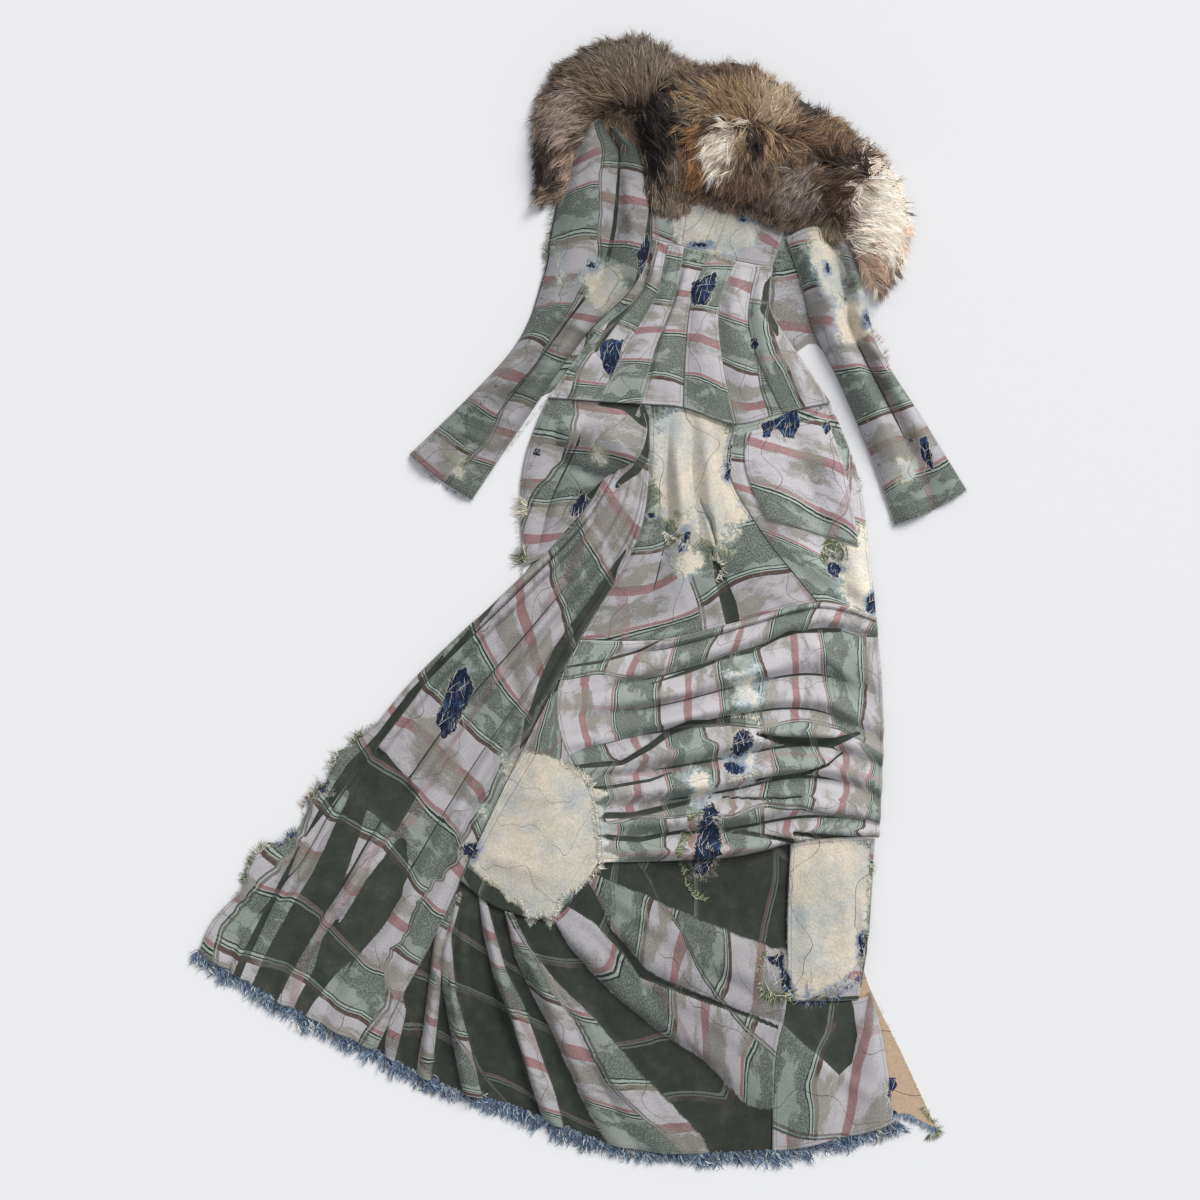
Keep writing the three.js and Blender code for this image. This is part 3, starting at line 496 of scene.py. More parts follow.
def crumpled(points, name):
    """How far the creases and the small crumples lift the cloth, and how deep its bands are sunk."""
    lift = np.zeros(len(points))
    for x0, y0, x1, y1, half_width, height in creases:
        start, end = np.array(plan(x0, y0)), np.array(plan(x1, y1))
        way = end - start
        share = np.clip(((points - start) @ way) / (way @ way), 0, 1)
        off = np.linalg.norm(points - (start + share[:, None] * way), axis=1) / (half_width * PLAN_SQUARE)
        lift += 0.001 * height * np.exp(-off ** 2) * (0.25 + 0.75 * np.sin(math.pi * share))
    x, y = points[:, 0], points[:, 1]
    small = (np.sin(61 * x + 23 * y + 3 * np.sin(19 * y)) * np.sin(47 * y - 31 * x + 2 * np.sin(27 * x))
             + 0.6 * np.sin(137 * x - 83 * y + 2 * np.sin(41 * y)) * np.sin(118 * y + 67 * x))
    sunk = smoothstep(olive_and_shade_at(points, name), 0.3, 0.75)
    return lift * (1 - sunk) + 0.0008 * (small + 1.6) * (1 - 0.7 * sunk), sunk


# Seam lines and edges are in millimetres, the same as the solids' own.
def line(*points):
    """A smooth line through its points, as a function of the share along it."""
    knots = np.array(points, float) / 1000
    spans = len(knots) - 1

    def place(share):
        far = np.clip(np.atleast_1d(share), 0, 1) * spans
        first = np.minimum(far.astype(int), spans - 1)
        t = (far - first)[:, None]
        a, b = knots[np.maximum(first - 1, 0)], knots[first]
        c, d = knots[first + 1], knots[np.minimum(first + 2, spans)]
        start, end = (c - a) / 2, (d - b) / 2
        cubed, squared = 2 * b - 2 * c + start + end, 3 * c - 3 * b - 2 * start - end
        return cubed * t ** 3 + squared * t ** 2 + start * t + b

    place.spans = spans
    return place


def between(whole, first, last):
    return lambda share: whole((first + (last - first) * np.atleast_1d(share)) / whole.spans)


def backwards(whole):
    return lambda share: whole(1 - np.atleast_1d(share))


def joined(first, second, part):
    def place(share):
        share = np.atleast_1d(share)
        return np.where((share < part)[:, None], first(share / part), second((share - part) / (1 - part)))

    return place


def evenly(whole):
    """The same line, with equal steps of its share equally long."""
    spots = np.linspace(0, 1, 400)
    run = np.concatenate([[0], np.linalg.norm(np.diff(whole(spots), axis=0), axis=1).cumsum()])
    return lambda share: whole(np.interp(np.atleast_1d(share), run / run[-1], spots))


def smoothstep(value, low, high):
    share = np.clip((value - low) / (high - low), 0, 1)
    return share * share * (3 - 2 * share)


def patch_point(edges, u, v):
    """A point of a four-edged piece, at shares across and down; a missing edge is straight."""
    def straight(a, b):
        return lambda t: a + (b - a) * np.atleast_1d(t)[:, None]

    top, bottom = edges.get("top"), edges.get("bottom")
    left = edges.get("left") or straight(top(0), bottom(0))
    right = edges.get("right") or straight(top(1), bottom(1))
    top = top or straight(left(0), right(0))
    bottom = bottom or straight(left(1), right(1))
    u_, v_ = u[:, None], v[:, None]
    sides = left(v) * (1 - u_) + right(v) * u_
    ends = top(u) * (1 - v_) + bottom(u) * v_
    upper = left(0) * (1 - u_) + right(0) * u_
    lower = left(1) * (1 - u_) + right(1) * u_
    return sides + ends - upper * (1 - v_) - lower * v_


FULLER = 1.2  # the cloth stands a little fuller than its solid
FOLD_FADE = 0.3  # the share of a fold's run over which it dies away


# Folds: a row is a valley line with its share across the piece at the start, midway and at the end,
# then the crest before the next row's valley in millimetres, and how far along the crest stands.
def fold_grid(edges, folds, runs, level, ends, cell, sewn_after=None):
    """The cloth's underside as rows of points along its folds, the painted shade down each deep fold's
    valley, and its fold's number.
    """
    def point(along, over):
        return patch_point(edges, over, along) if runs == "down" else patch_point(edges, along, over)

    def fade(share):
        return smoothstep(share, 0.03, FOLD_FADE)

    def valley(row, at):
        return row[0] * (1 - at) * (1 - 2 * at) + row[1] * 4 * at * (1 - at) + row[2] * at * (2 * at - 1)

    both_ends = np.array([0.0, 1.0])
    stations = (0.1, 0.5, 0.9) if runs == "down" else (0.5,)
    run = max(np.linalg.norm(np.subtract(*point(both_ends, np.full(2, at)))) for at in stations)
    t = np.linspace(0, 1, 2 + int(run / cell))
    probe = np.array([0.02, 0.5, 0.98])
    grid, dark, number_of = [], [], []
    for number, (fold, following) in enumerate(zip(folds, folds[1:])):
        crest, lean = fold[3:]
        a, b = valley(fold, t), valley(following, t)
        gap = point(probe, valley(fold, probe)) - point(probe, valley(following, probe))
        width = np.linalg.norm(gap, axis=1).max()
        cuts = max(5, int(width * 1.15 / cell)) if crest else max(2, int(width / cell))
        end_share = 0 if sewn_after is not None and number >= sewn_after else ends[1]
        full = (ends[0] + (1 - ends[0]) * fade(t)) * (end_share + (1 - end_share) * fade(1 - t))
        is_last = number == len(folds) - 2
        for share in np.linspace(0, 1, cuts + 1)[: None if is_last else -1]:
            turned = share ** (math.log(0.5) / math.log(lean)) if share > 0 else 0.0
            rise = 0.001 * FULLER * crest * full * math.sin(math.pi * turned) ** 1.4
            grid.append(np.column_stack([point(t, a + (b - a) * share), LAYER * (1 + level) + rise]))
            # Painted shade: a dark line down the valley of each fold deeper than 9 mm.
            valley_shade = math.exp(-(min(share, 1 - share) * width / 0.006) ** 2)
            dark.append(0.66 * valley_shade * (crest > 9) * full)
            number_of.append(np.full(len(t), float(number)))
    grid, dark, number_of = np.array(grid), np.array(dark), np.array(number_of)
    if runs == "down":
        return grid.transpose(1, 0, 2), dark.T, number_of.T
    return grid, dark, number_of


def sheet_mesh(name, grid):
    """A mesh of a grid of cloth points, the row and column of each point, and each corner's point."""
    rows, cuts = grid.shape[:2]
    sheet = bmesh.new()
    bmesh.ops.create_grid(sheet, x_segments=cuts - 1, y_segments=rows - 1, size=0.5)
    data = bpy.data.meshes.new(name)
    sheet.to_mesh(data)
    sheet.free()
    flat = np.empty(len(data.vertices) * 3)
    data.vertices.foreach_get("co", flat)
    flat = flat.reshape(-1, 3)
    column = np.rint((flat[:, 0] + 0.5) * (cuts - 1)).astype(int)
    row = rows - 1 - np.rint((flat[:, 1] + 0.5) * (rows - 1)).astype(int)
    data.vertices.foreach_set("co", grid[row, column].ravel())
    corners = np.empty(len(data.loops), int)
    data.loops.foreach_get("vertex_index", corners)
    return data, row, column, corners


def arc_lengths(grid):
    """How far each point is along the cloth itself, across from its middle and down from its top."""
    across = np.zeros(grid.shape[:2])
    across[:, 1:] = np.cumsum(np.linalg.norm(np.diff(grid, axis=1), axis=2), axis=1)
    across -= across[:, [-1]] / 2
    down = np.zeros(grid.shape[:2])
    down[1:] = np.cumsum(np.linalg.norm(np.diff(grid, axis=0), axis=2), axis=0)
    return across, down.mean(axis=1, keepdims=True) + 0 * across


def edge_gap(grid):
    """How far each point of a sheet is from its nearest edge, along the cloth."""
    down = np.linalg.norm(np.diff(grid, axis=0), axis=2).cumsum(axis=0)
    down = np.vstack([np.zeros((1, grid.shape[1])), down])
    across = np.linalg.norm(np.diff(grid, axis=1), axis=2).cumsum(axis=1)
    across = np.hstack([np.zeros((grid.shape[0], 1)), across])
    sides = np.minimum(across, across[:, [-1]] - across)
    return np.minimum(sides, np.minimum(down, down[[-1]] - down))


def finish_sheet(name, grid, dark, map_shift, map_turn, material, part="", map_scale=1.0, jumps=None,
                 raw=False):
    """A sheet of a grid of points, with its map, its wear and its painted shade, and its wall; a raw one has
    no seam round it.
    """
    data, row, column, corners = sheet_mesh(name, grid)
    across, down = arc_lengths(grid)
    turn = math.radians(map_turn)
    u, v = across[row, column][corners] * map_scale, down[row, column][corners] * map_scale
    if jumps is not None:
        faces = corners.reshape(-1, 4)
        v = v + np.repeat(jumps[row[faces].min(axis=1), column[faces].min(axis=1)], 4)
    cloth_map = data.uv_layers.new(name="Cloth")
    places = np.column_stack([u * math.cos(turn) - v * math.sin(turn) + map_shift[0],
                              u * math.sin(turn) + v * math.cos(turn) + map_shift[1]])
    cloth_map.data.foreach_set("uv", places.ravel())
    points = grid[row, column][:, :2]
    gap = np.ones(len(points)) if raw else edge_gap(grid)[row, column]
    wear = {"cream": strength(points, cream_places.get(part, []), cream_outlines.get(part, [])),
            "rip": strength(points, rip_places, rip_outlines),
            # dark: painted shade down deep fold valleys, and the olive fields, which are partly olive cloth
            # and partly painted shade.
            "dark": np.maximum(dark[row, column], olive_and_shade_at(points, part)),
            "seam": np.minimum(seam_gap(points, part), gap)}
    for key, amounts in wear.items():
        layer = data.attributes.new(key, "FLOAT", "POINT")
        layer.data.foreach_set("value", amounts)
    data.polygons.foreach_set("use_smooth", np.ones(len(data.polygons), bool))
    data.materials.append(material)
    piece = bpy.data.objects.new(name, data)
    bpy.context.collection.objects.link(piece)
    wall = piece.modifiers.new("wall", "SOLIDIFY")
    wall.thickness = CLOTH
    wall.offset = 1
    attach(piece, "root")
    return piece


def declare(node):
    """Hides the solid that a sheet stands in for."""
    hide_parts(node)


# The relief is the highest cloth over each small square of the table, for the threads to lie on.
CELL = 0.004
CELLS_ACROSS, CELLS_UP = 340, 480
relief = np.full((CELLS_ACROSS, CELLS_UP), 0.001)


def cells(points):
    return (np.clip((points[..., 0] / CELL + CELLS_ACROSS / 2).astype(int), 0, CELLS_ACROSS - 1),
            np.clip((points[..., 1] / CELL + CELLS_UP / 2).astype(int), 0, CELLS_UP - 1))


def panel(name, slot, rests_on, held="laid", map_shift=(0, 0), map_turn=0, map_scale=1.0, jump=0.0,
          material=jacquard, flaps=None, strips=None, raised=None, raw=False, **form):
    """One cut piece of the coat, from its edges and folds, in place of its solid.

    It is cut from the check at map_shift, turned and scaled, and the check jumps on at each fold. Flaps
    tear its left edge, strips stand up from it, and raised lifts it by place.
    """
    grid, dark, folds = fold_grid(**form)
    base = LAYER * (1 + form["level"])
    if flaps is not None:
        tattered(grid, flaps)
    points = grid[..., :2].reshape(-1, 2)
    if strips is not None:
        depths = depth_inside(points, strips)
        deepest = depths.max(axis=0)
        folds = np.where(deepest < 0.5, len(strips), depths.argmax(axis=0)).reshape(dark.shape)
        dark = 0 * dark
        stand = smoothstep(deepest, 0.4, 0.62).reshape(dark.shape)
        below_seam = smoothstep(grid[..., 1], -0.45, -0.56)
        grid[..., 2] = base + 0.4 * (grid[..., 2] - base) + 0.005 * stand * below_seam
    if raised is not None:
        grid[..., 2] += raised(points).reshape(dark.shape)
    lift, sunk = crumpled(points, name)
    lift, sunk = lift.reshape(dark.shape), sunk.reshape(dark.shape)
    grid[..., 2] = base + (grid[..., 2] - base) * (1 - 0.6 * sunk) + lift
    np.maximum.at(relief, cells(grid), grid[..., 2] + CLOTH)
    piece = finish_sheet("cloth_" + name, grid, dark, map_shift, map_turn, material, name, map_scale,
                         folds * jump, raw)
    declare(name)
    return grid


# The yoke: a strip of faded, nearly bare denim below the collar, felled over the six bodice pieces.
cream_places["yoke"] = [
    (712, 224, 30, 24, -8, 1.5), (664, 214, 10, 16, 0, 0.6), (745, 232, 16, 14, 0, 0.9),
]
inner_seams["yoke"] = [[(682, 192), (680, 222), (675, 252)], [(726, 206), (716, 232), (706, 256)]]
flatter = [(0, 0, 0, 3.5, 0.5), (1, 1, 1, 0, 0.5)]
panel("yoke", "cream_denim", ["front_left", "front_right"], map_shift=(0.31, 0.12), map_scale=1.3,
      edges={"top": line((112, 680), (189, 675), (269, 661), (333, 622)),
             "bottom": line((112, 581), (173, 565), (245, 546), (304, 536))},
      folds=flatter, runs="down", level=0, ends=(1, 0), cell=0.0045)

# The bodice: six narrow shaped pieces with upright felled seams, from the yoke to the waist.
waist = line((-54, 328), (26, 322), (94, 318), (109, 317), (162, 312), (245, 286), (320, 304), (397, 320))
waist_stations = [0, 1, 2, 4, 5, 6, 7]
bodice_seams = [
    line((112, 581), (99, 501), (22, 429), (-54, 328)),
    line((138, 574), (118, 491), (69, 405), (26, 322)),
    line((163, 568), (147, 485), (115, 402), (94, 318)),
    line((202, 558), (176, 485), (166, 405), (162, 312)),
    line((245, 546), (218, 469), (224, 381), (245, 286)),
    line((280, 539), (266, 453), (288, 373), (320, 304)),
    line((304, 536), (301, 469), (344, 397), (397, 320)),
]
smooth = [(0, 0, 0, 7, 0.5), (1, 1, 1, 0, 0.5)]
# Painted shade at both armholes, beside the sleeves.
olive_and_shade_bands["bodice_side_right"] = [
    [(796, 258, 2), (784, 273, 8), (773, 290, 11), (768, 310, 9), (776, 336, 2)],
]
olive_and_shade_bands["bodice_side_left"] = [[(652, 232, 4), (640, 270, 7), (622, 310, 6), (596, 352, 2)]]

# Each piece: its name, its slot, and where its cloth was cut from the check: across, down and turn.
bodice_cuts = [
    ("side_left", "sage_denim", 0.02, 0.05, 0), ("back_left", "taupe_denim", 0.27, 0.13, 4),
    ("centre_left", "stone_denim", 0.11, 0.21, -3), ("centre_right", "taupe_denim", 0.4, 0.02, 6),
    ("back_right", "sage_denim", 0.55, 0.17, -5), ("side_right", "stone_denim", 0.68, 0.09, 80),
]
for number, (side, slot, shift_across, shift_down, turn) in enumerate(bodice_cuts):
    panel("bodice_" + side, slot, ["yoke", "front_left", "front_right"],
          map_shift=(shift_across, shift_down), map_turn=turn, map_scale=1.3, material=faded_jacquard,
          edges={"bottom": between(waist, waist_stations[number], waist_stations[number + 1]),
                 "left": bodice_seams[number], "right": bodice_seams[number + 1]},
          folds=smooth, runs="down", level=2 + number % 2, ends=(0, 0), cell=0.0042)

# The hips: the left one bags out in a pouch beside the long gore, and the right one carries a patch
# pocket. Between them lies the bleached centre piece, with two long soft folds.
gore_seam = line((109, 317), (93, 117), (-6, -59), (-67, -181), (-123, -291),
                 (-185, -420), (-232, -525), (-285, -622), (-330, -715))
hip_seam = line((245, 286), (234, 213), (285, 117), (378, 0))
hip_edge = line((397, 320), (442, 197), (461, 53), (470, -24))
gather_top = line((-3, -59), (125, -59), (253, -30), (378, 0), (470, -24))
hip_left_folds = [
    (0, 0, 0, 7, 0.5), (0.4, 0.42, 0.5, 12, 0.45), (0.85, 0.85, 0.8, 0, 0.5), (1, 1, 1, 0, 0.5),
]
centre_folds = [(0, 0, 0, 5, 0.5), (0.33, 0.3, 0.25, 12, 0.5), (0.62, 0.6, 0.5, 8, 0.5), (1, 1, 1, 0, 0.5)]
hip_right_folds = [(0, 0, 0, 7, 0.5), (0.55, 0.6, 0.6, 9, 0.5), (1, 1, 1, 0, 0.5)]
cream_places["hip_left"] = [(600, 455, 16, 20, 20, 0.5)]
cream_places["skirt_centre"] = [(700, 470, 46, 66, 18, 1.0), (688, 560, 30, 26, 10, 0.62)]
cream_places["hip_right"] = [(866, 575, 26, 44, 8, 1.0)]
# Painted shade beside and below the frayed hole.
olive_and_shade_bands["skirt_centre"] = [
    [(712, 552, 1), (720, 578, 6), (729, 606, 8), (736, 640, 7)],
    [(700, 500, 1), (710, 520, 3), (716, 545, 1)],
]
# Painted shade in the gap above the pouch and under its lower edge.
olive_and_shade_outlines["hip_left"] = [
    [(600, 402), (648, 402), (652, 432), (640, 426), (623, 411), (598, 406)],
    [(612, 472), (640, 458), (612, 490), (586, 510), (580, 502), (600, 482)],
]

# The pouch's outline, by the plan.
pouch = [(556, 412), (598, 411), (622, 417), (638, 431), (641, 448), (631, 464), (610, 476), (590, 478),
         (568, 468), (554, 440)]


def pouch_rise(points):
    """How far the pouch stands up over the gore beside it."""
    across, down = PLAN_ORIGIN[0] + points[:, 0] / PLAN_SQUARE, PLAN_ORIGIN[1] - points[:, 1] / PLAN_SQUARE
    nose = smoothstep(across, 585, 612) * smoothstep(down, 406, 420) * (1 - smoothstep(down, 468, 486))
    return 0.008 * nose + 0.011 * smoothstep(outline_depth(points, pouch), -1, 12)


panel("hip_left", "sage_denim", ["front_left"], map_shift=(0.03, 0.3), map_turn=-4, raised=pouch_rise,
      edges={"top": between(waist, 0, 2), "left": line((-54, 328), (-86, 248), (-98, 165), (-93, 59)),
             "right": evenly(line((94, 318), (104, 280), (94, 240), (62, 202), (20, 165), (-15, 128),
                                  (-64, 72)))},
      folds=hip_left_folds, runs="down", level=0, ends=(0, 0), cell=0.004)
panel("skirt_centre", "cream_denim", ["front_left", "front_right"], map_shift=(0.36, 0.07), map_turn=10,
      edges={"top": between(waist, 3, 5), "bottom": between(gather_top, 0, 3),
             "left": between(gore_seam, 0, 2), "right": hip_seam},
      folds=centre_folds, runs="down", level=0, ends=(0, 0), cell=0.0045)
hip_grid = panel(
    "hip_right", "taupe_denim", ["front_right", "skirt_centre"], map_shift=(0.2, 0.15), map_turn=-14,
    material=sunned_jacquard,
    edges={"top": between(waist, 5, 7), "bottom": between(gather_top, 3, 4),
           "left": hip_seam, "right": hip_edge},
    folds=hip_right_folds, runs="down", level=1, ends=(0, 0), cell=0.0045)

# The patch pocket on the right hip: its points are the hip's own, moved out by the cloth and a gap.
first_row, last_row = int(0.1 * len(hip_grid)), int(0.6 * len(hip_grid))
first_cut, last_cut = int(0.14 * hip_grid.shape[1]), int(0.9 * hip_grid.shape[1])
pocket_grid = hip_grid[first_row:last_row, first_cut:last_cut].copy()
pocket_grid[..., 2] += LAYER + 0.0008
np.maximum.at(relief, cells(pocket_grid), pocket_grid[..., 2] + CLOTH)
pocket = finish_sheet("cloth_pocket_right", pocket_grid, np.zeros(pocket_grid.shape[:2]), (0.07, 0.02), -22,
                      sunned_jacquard)
declare("pocket_right")

# The left gore: a long sweep of denim to the lower left, sewn to the waist and the centre piece, with
# soft folds down it and a raw, tattered left edge.
hem = line((-611, -558), (-475, -640), (-330, -715), (-227, -768), (-99, -808),
           (29, -859), (157, -878), (304, -875), (413, -854), (498, -830))
gore_side = evenly(line((94, 318), (5, 147), (-100, 38), (-205, -60), (-272, -126), (-325, -190),
                        (-371, -248), (-416, -307), (-446, -355), (-477, -398), (-534, -451), (-589, -507),
                        (-611, -558)))
# How far the torn edge stands beyond that line, in squares, at each height of the plan.
gore_flaps = [
    (722, 0), (735, 6), (742, 8), (748, 4), (756, 11), (762, 15), (772, 8), (784, 3), (790, 8), (797, 5),
    (802, 12), (809, 4), (830, 1), (838, 7), (846, 7), (850, 12), (856, 22), (862, 15), (868, 18),
    (876, 14), (884, 4), (892, 0),
]
gore_folds = [
    (0, 0, 0, 8, 0.5), (0.15, 0.1, 0.22, 15, 0.4), (0.3, 0.19, 0.3, 5, 0.5), (0.55, 0.4, 0.44, 17, 0.38),
    (0.8, 0.52, 0.53, 6, 0.5), (0.92, 0.72, 0.7, 12, 0.5), (0.97, 0.86, 0.86, 8, 0.5), (1, 1, 1, 0, 0.5),
]
cream_places["gore_left"] = [(510, 768, 17, 50, 28, 0.5), (484, 812, 12, 34, 34, 0.5)]
olive_and_shade_bands["gore_left"] = [
    [(378, 762, 2), (362, 792, 10), (345, 836, 14), (327, 880, 16), (304, 920, 17), (280, 962, 16),
     (262, 1000, 15), (250, 1030, 15)],
    [(402, 843, 6), (396, 862, 13), (384, 888, 20), (368, 915, 20), (349, 940, 17), (328, 966, 11),
     (306, 1000, 8), (294, 1025, 6)],
    [(300, 846, 1), (284, 880, 3.5), (263, 922, 3.5), (244, 960, 4), (232, 990, 4)],
    [(625, 550, 1), (596, 605, 8), (568, 652, 13), (549, 690, 13), (531, 726, 7), (520, 748, 1)],
    [(444, 655, 1), (412, 696, 5), (380, 738, 5), (352, 768, 6), (330, 800, 5), (306, 836, 1)],
    [(520, 568, 1.5), (488, 612, 2.5), (450, 655, 3), (428, 680, 1)],
    [(338, 916, 1), (330, 940, 8), (322, 972, 8), (316, 990, 2)],
    # Painted shadow on the gore beside the pouch's nose.
    [(642, 408, 3), (648, 428, 5), (647, 450, 6), (636, 470, 5), (618, 484, 3)],
]
olive_and_shade_outlines["gore_left"] = [[(380, 745), (420, 791), (396, 832), (372, 812), (347, 788)]]


def tattered(grid, flaps, reach=7):
    """Pulls a sheet's left columns out to a torn edge."""
    heights = PLAN_ORIGIN[1] - grid[:, 0, 1] / PLAN_SQUARE
    out = np.interp(heights, [row[0] for row in flaps], [row[1] for row in flaps]) * PLAN_SQUARE
    fall = np.clip(1 - np.arange(reach) / reach, 0, 1)
    grid[:, :reach, 0] -= 0.76 * out[:, None] * fall
    grid[:, :reach, 1] += 0.65 * out[:, None] * fall


panel("gore_left", "taupe_denim", ["front_left", "hip_left"], map_shift=(0.5, 0.03), map_turn=2,
      edges={"top": between(waist, 2, 3), "bottom": between(hem, 0, 2),
             "left": gore_side, "right": gore_seam},
      flaps=gore_flaps, folds=gore_folds, runs="down", level=1, ends=(0, 0.75), cell=0.0048)

# The gathered panel: checked denim across the middle, drawn up into eight deep folds that run from the
# gore's seam to the side seam.
gather_left = line((-3, -59), (-39, -139), (-32, -219), (16, -315), (26, -414))
gather_right = line((470, -24), (480, -155), (480, -251), (474, -373))
gather_foot = line((26, -414), (141, -410), (243, -404), (333, -383), (404, -374), (474, -373))
gathers = [
    (0, 0, 0, 7, 0.5), (0.1, 0.04, 0.03, 12, 0.6), (0.24, 0.15, 0.1, 15, 0.62),
    (0.41, 0.28, 0.33, 15, 0.66), (0.57, 0.41, 0.57, 19, 0.66), (0.68, 0.6, 0.7, 18, 0.68),
    (0.8, 0.73, 0.82, 18, 0.66), (0.89, 0.87, 0.93, 16, 0.62), (1, 1, 1, 0, 0.5),
]
cream_places["gathered_panel"] = [
    (745, 690, 26, 36, 15, 0.62), (700, 785, 16, 26, 10, 0.66), (742, 760, 24, 26, 0, 0.62),
]
cream_outlines["gathered_panel"] = [
    ([(556, 750), (566, 764), (590, 778), (582, 787), (608, 793), (592, 802), (606, 811), (594, 819),
      (615, 826), (597, 835), (608, 842), (598, 849), (616, 857), (596, 870), (560, 860),
      (548, 780)], 7, 1.1),
]
# Olive cloth and painted shade in the valleys under the folds, and painted shadow along the patch's top.
olive_and_shade_bands["gathered_panel"] = [
    [(558, 768, 1), (600, 764, 3), (622, 762, 3), (650, 746, 3.5), (670, 731, 4), (690, 723, 5),
     (728, 722, 3)],
    [(756, 733, 2), (775, 738, 4), (800, 741, 5.5), (833, 741, 5), (858, 733, 2)],
    [(793, 832, 2.5), (830, 835, 3), (873, 840, 3)],
    [(576, 816, 1), (600, 815, 3.5), (633, 815, 3.5), (670, 806, 3), (710, 797, 1)],
    [(722, 797, 1), (760, 798, 1.8), (800, 796, 1)],
    [(590, 833, 1), (612, 837, 3), (640, 839, 3), (682, 830, 2)],
    [(722, 831, 1), (750, 833, 2.5), (792, 839, 2.5)],
    [(651, 684, 1), (690, 671, 2), (729, 656, 1.8), (750, 652, 2), (788, 632, 2), (838, 630, 2.5)],
    [(563, 667, 1), (600, 662, 1.8), (635, 652, 1.6), (670, 636, 1)],
    [(577, 788, 1), (608, 787, 2), (650, 780, 1.8), (672, 772, 1)],
    [(755, 778, 1), (800, 773, 2.4), (826, 764, 1.8), (842, 752, 1)],
]
panel("gathered_panel", "stone_denim", ["front_left", "front_right", "skirt_centre"], held="gathered",
      map_shift=(0.13, 0.02), map_turn=86, map_scale=1.5, jump=0.026, material=faded_jacquard,
      edges={"top": gather_top, "bottom": gather_foot, "left": gather_left, "right": gather_right},
      folds=gathers, runs="across", level=2, ends=(0, 0.35), cell=0.0042)

# The worn insert: denim rubbed down to its cream cotton, sewn between the gore and the gathers, with a
# raw, ragged foot over the fan.
worn_foot = line((-194, -443), (-131, -488), (-42, -499), (26, -414))
cream_outlines["worn_panel"] = [
    ([(523, 757), (546, 756), (566, 768), (606, 786), (610, 866), (590, 874), (578, 882), (562, 893),
      (558, 908), (551, 917), (541, 909), (531, 918), (524, 902), (512, 898), (504, 886), (486, 874),
      (474, 860), (489, 824), (504, 793)], 12, 1.25),
]
inner_seams["worn_panel"] = [[(531, 752), (503, 798), (470, 858), (458, 880)]]
# Painted shade between the pleats at the insert's raw foot.
olive_and_shade_bands["worn_panel"] = [
    [(464, 868, 4), (478, 884, 8), (496, 897, 9), (514, 911, 8), (528, 923, 4)],
    [(562, 916, 6), (582, 898, 8), (604, 872, 4)],
]
panel("worn_panel", "cream_denim", ["gathered_panel", "gore_left"],
      map_shift=(0.6, 0.3), map_turn=80, map_scale=1.5,
      edges={"left": between(gore_seam, 2.7, 5.2), "right": between(gather_left, 1, 4),
             "bottom": worn_foot},
      folds=smooth, runs="down", level=3, ends=(0, 0), cell=0.0048, raw=True)

# The pleated fan: twelve pleats open from the insert's foot and are loose at the hem. The cloth is dark
# olive there, partly its own colour and partly painted shade in the valleys, and light strips of it stand up
# between the valleys.
corner_seam = line((333, -383), (328, -494), (326, -635), (308, -731), (304, -875))
HEM_SHARE = 0.7  # how much of the fan's foot is hem
pleats = [
    (0, 0, 0, 5, 0.5), (0.03, 0.06, 0.095, 15, 0.45), (0.07, 0.11, 0.14, 18, 0.5),
    (0.13, 0.18, 0.235, 4, 0.5), (0.2, 0.26, 0.325, 19, 0.45), (0.27, 0.32, 0.37, 4, 0.5),
    (0.38, 0.38, 0.395, 19, 0.5), (0.46, 0.47, 0.49, 15, 0.5), (0.58, 0.57, 0.585, 4, 0.5),
    (0.74, 0.72, 0.7, 17, 0.4), (0.9, 0.85, 0.83, 15, 0.5), (0.97, 0.93, 0.905, 4, 0.5), (1, 1, 1, 0, 0.5),
]
light_pleats = [
    [(400, 985, 1), (398, 1010, 8), (392, 1045, 6), (388, 1080, 2)],
    [(457, 896, 2), (447, 920, 4), (441, 934, 5), (436, 977, 5), (431, 1023, 6), (425, 1068, 7),
     (420, 1100, 8)],
    [(460, 893, 2), (448, 935, 3), (447, 965, 6), (450, 992, 6), (461, 1038, 7), (471, 1084, 8),
     (478, 1115, 9)],
    [(480, 885, 2), (489, 931, 5), (500, 972, 6), (517, 1007, 7), (532, 1053, 8), (547, 1099, 9),
     (556, 1135, 9)],
    [(503, 888, 2), (513, 925, 4), (523, 952, 8), (543, 986, 13), (568, 1018, 19), (592, 1055, 26),
     (616, 1093, 32), (645, 1130, 38), (665, 1160, 44)],
    [(548, 890, 1), (562, 914, 10), (582, 934, 17), (605, 960, 17), (632, 988, 16), (675, 1012, 24),
     (718, 1033, 30), (768, 1062, 46)],
    [(594, 880, 6), (632, 914, 24), (668, 942, 34), (717, 963, 34), (764, 982, 36), (790, 985, 36)],
]
cream_outlines["pleated_fan"] = [
    ([(520, 900), (530, 926), (540, 914), (551, 928), (561, 908), (580, 884), (602, 864),
      (560, 880)], 6, 1.0),
]
# Painted shadow where an upper pleat lies over a lower one.
olive_and_shade_bands["pleated_fan"] = [
    [(595, 905, 1), (618, 942, 1.5), (640, 975, 2), (686, 992, 2), (731, 1008, 2), (776, 1026, 1.5)],
]
panel("pleated_fan", "olive_denim", ["front_left", "front_right"], held="gathered",
      map_shift=(0.05, 0.22), map_turn=0, jump=0.067, material=deep_jacquard, strips=light_pleats,
      edges={"top": worn_foot, "left": between(gore_seam, 5.2, 8), "right": between(gather_foot, 0, 3),
             "bottom": joined(between(hem, 2, 7), backwards(corner_seam), HEM_SHARE)},
      folds=pleats, runs="down", level=0, ends=(0, 0.8), sewn_after=8, cell=0.0045)

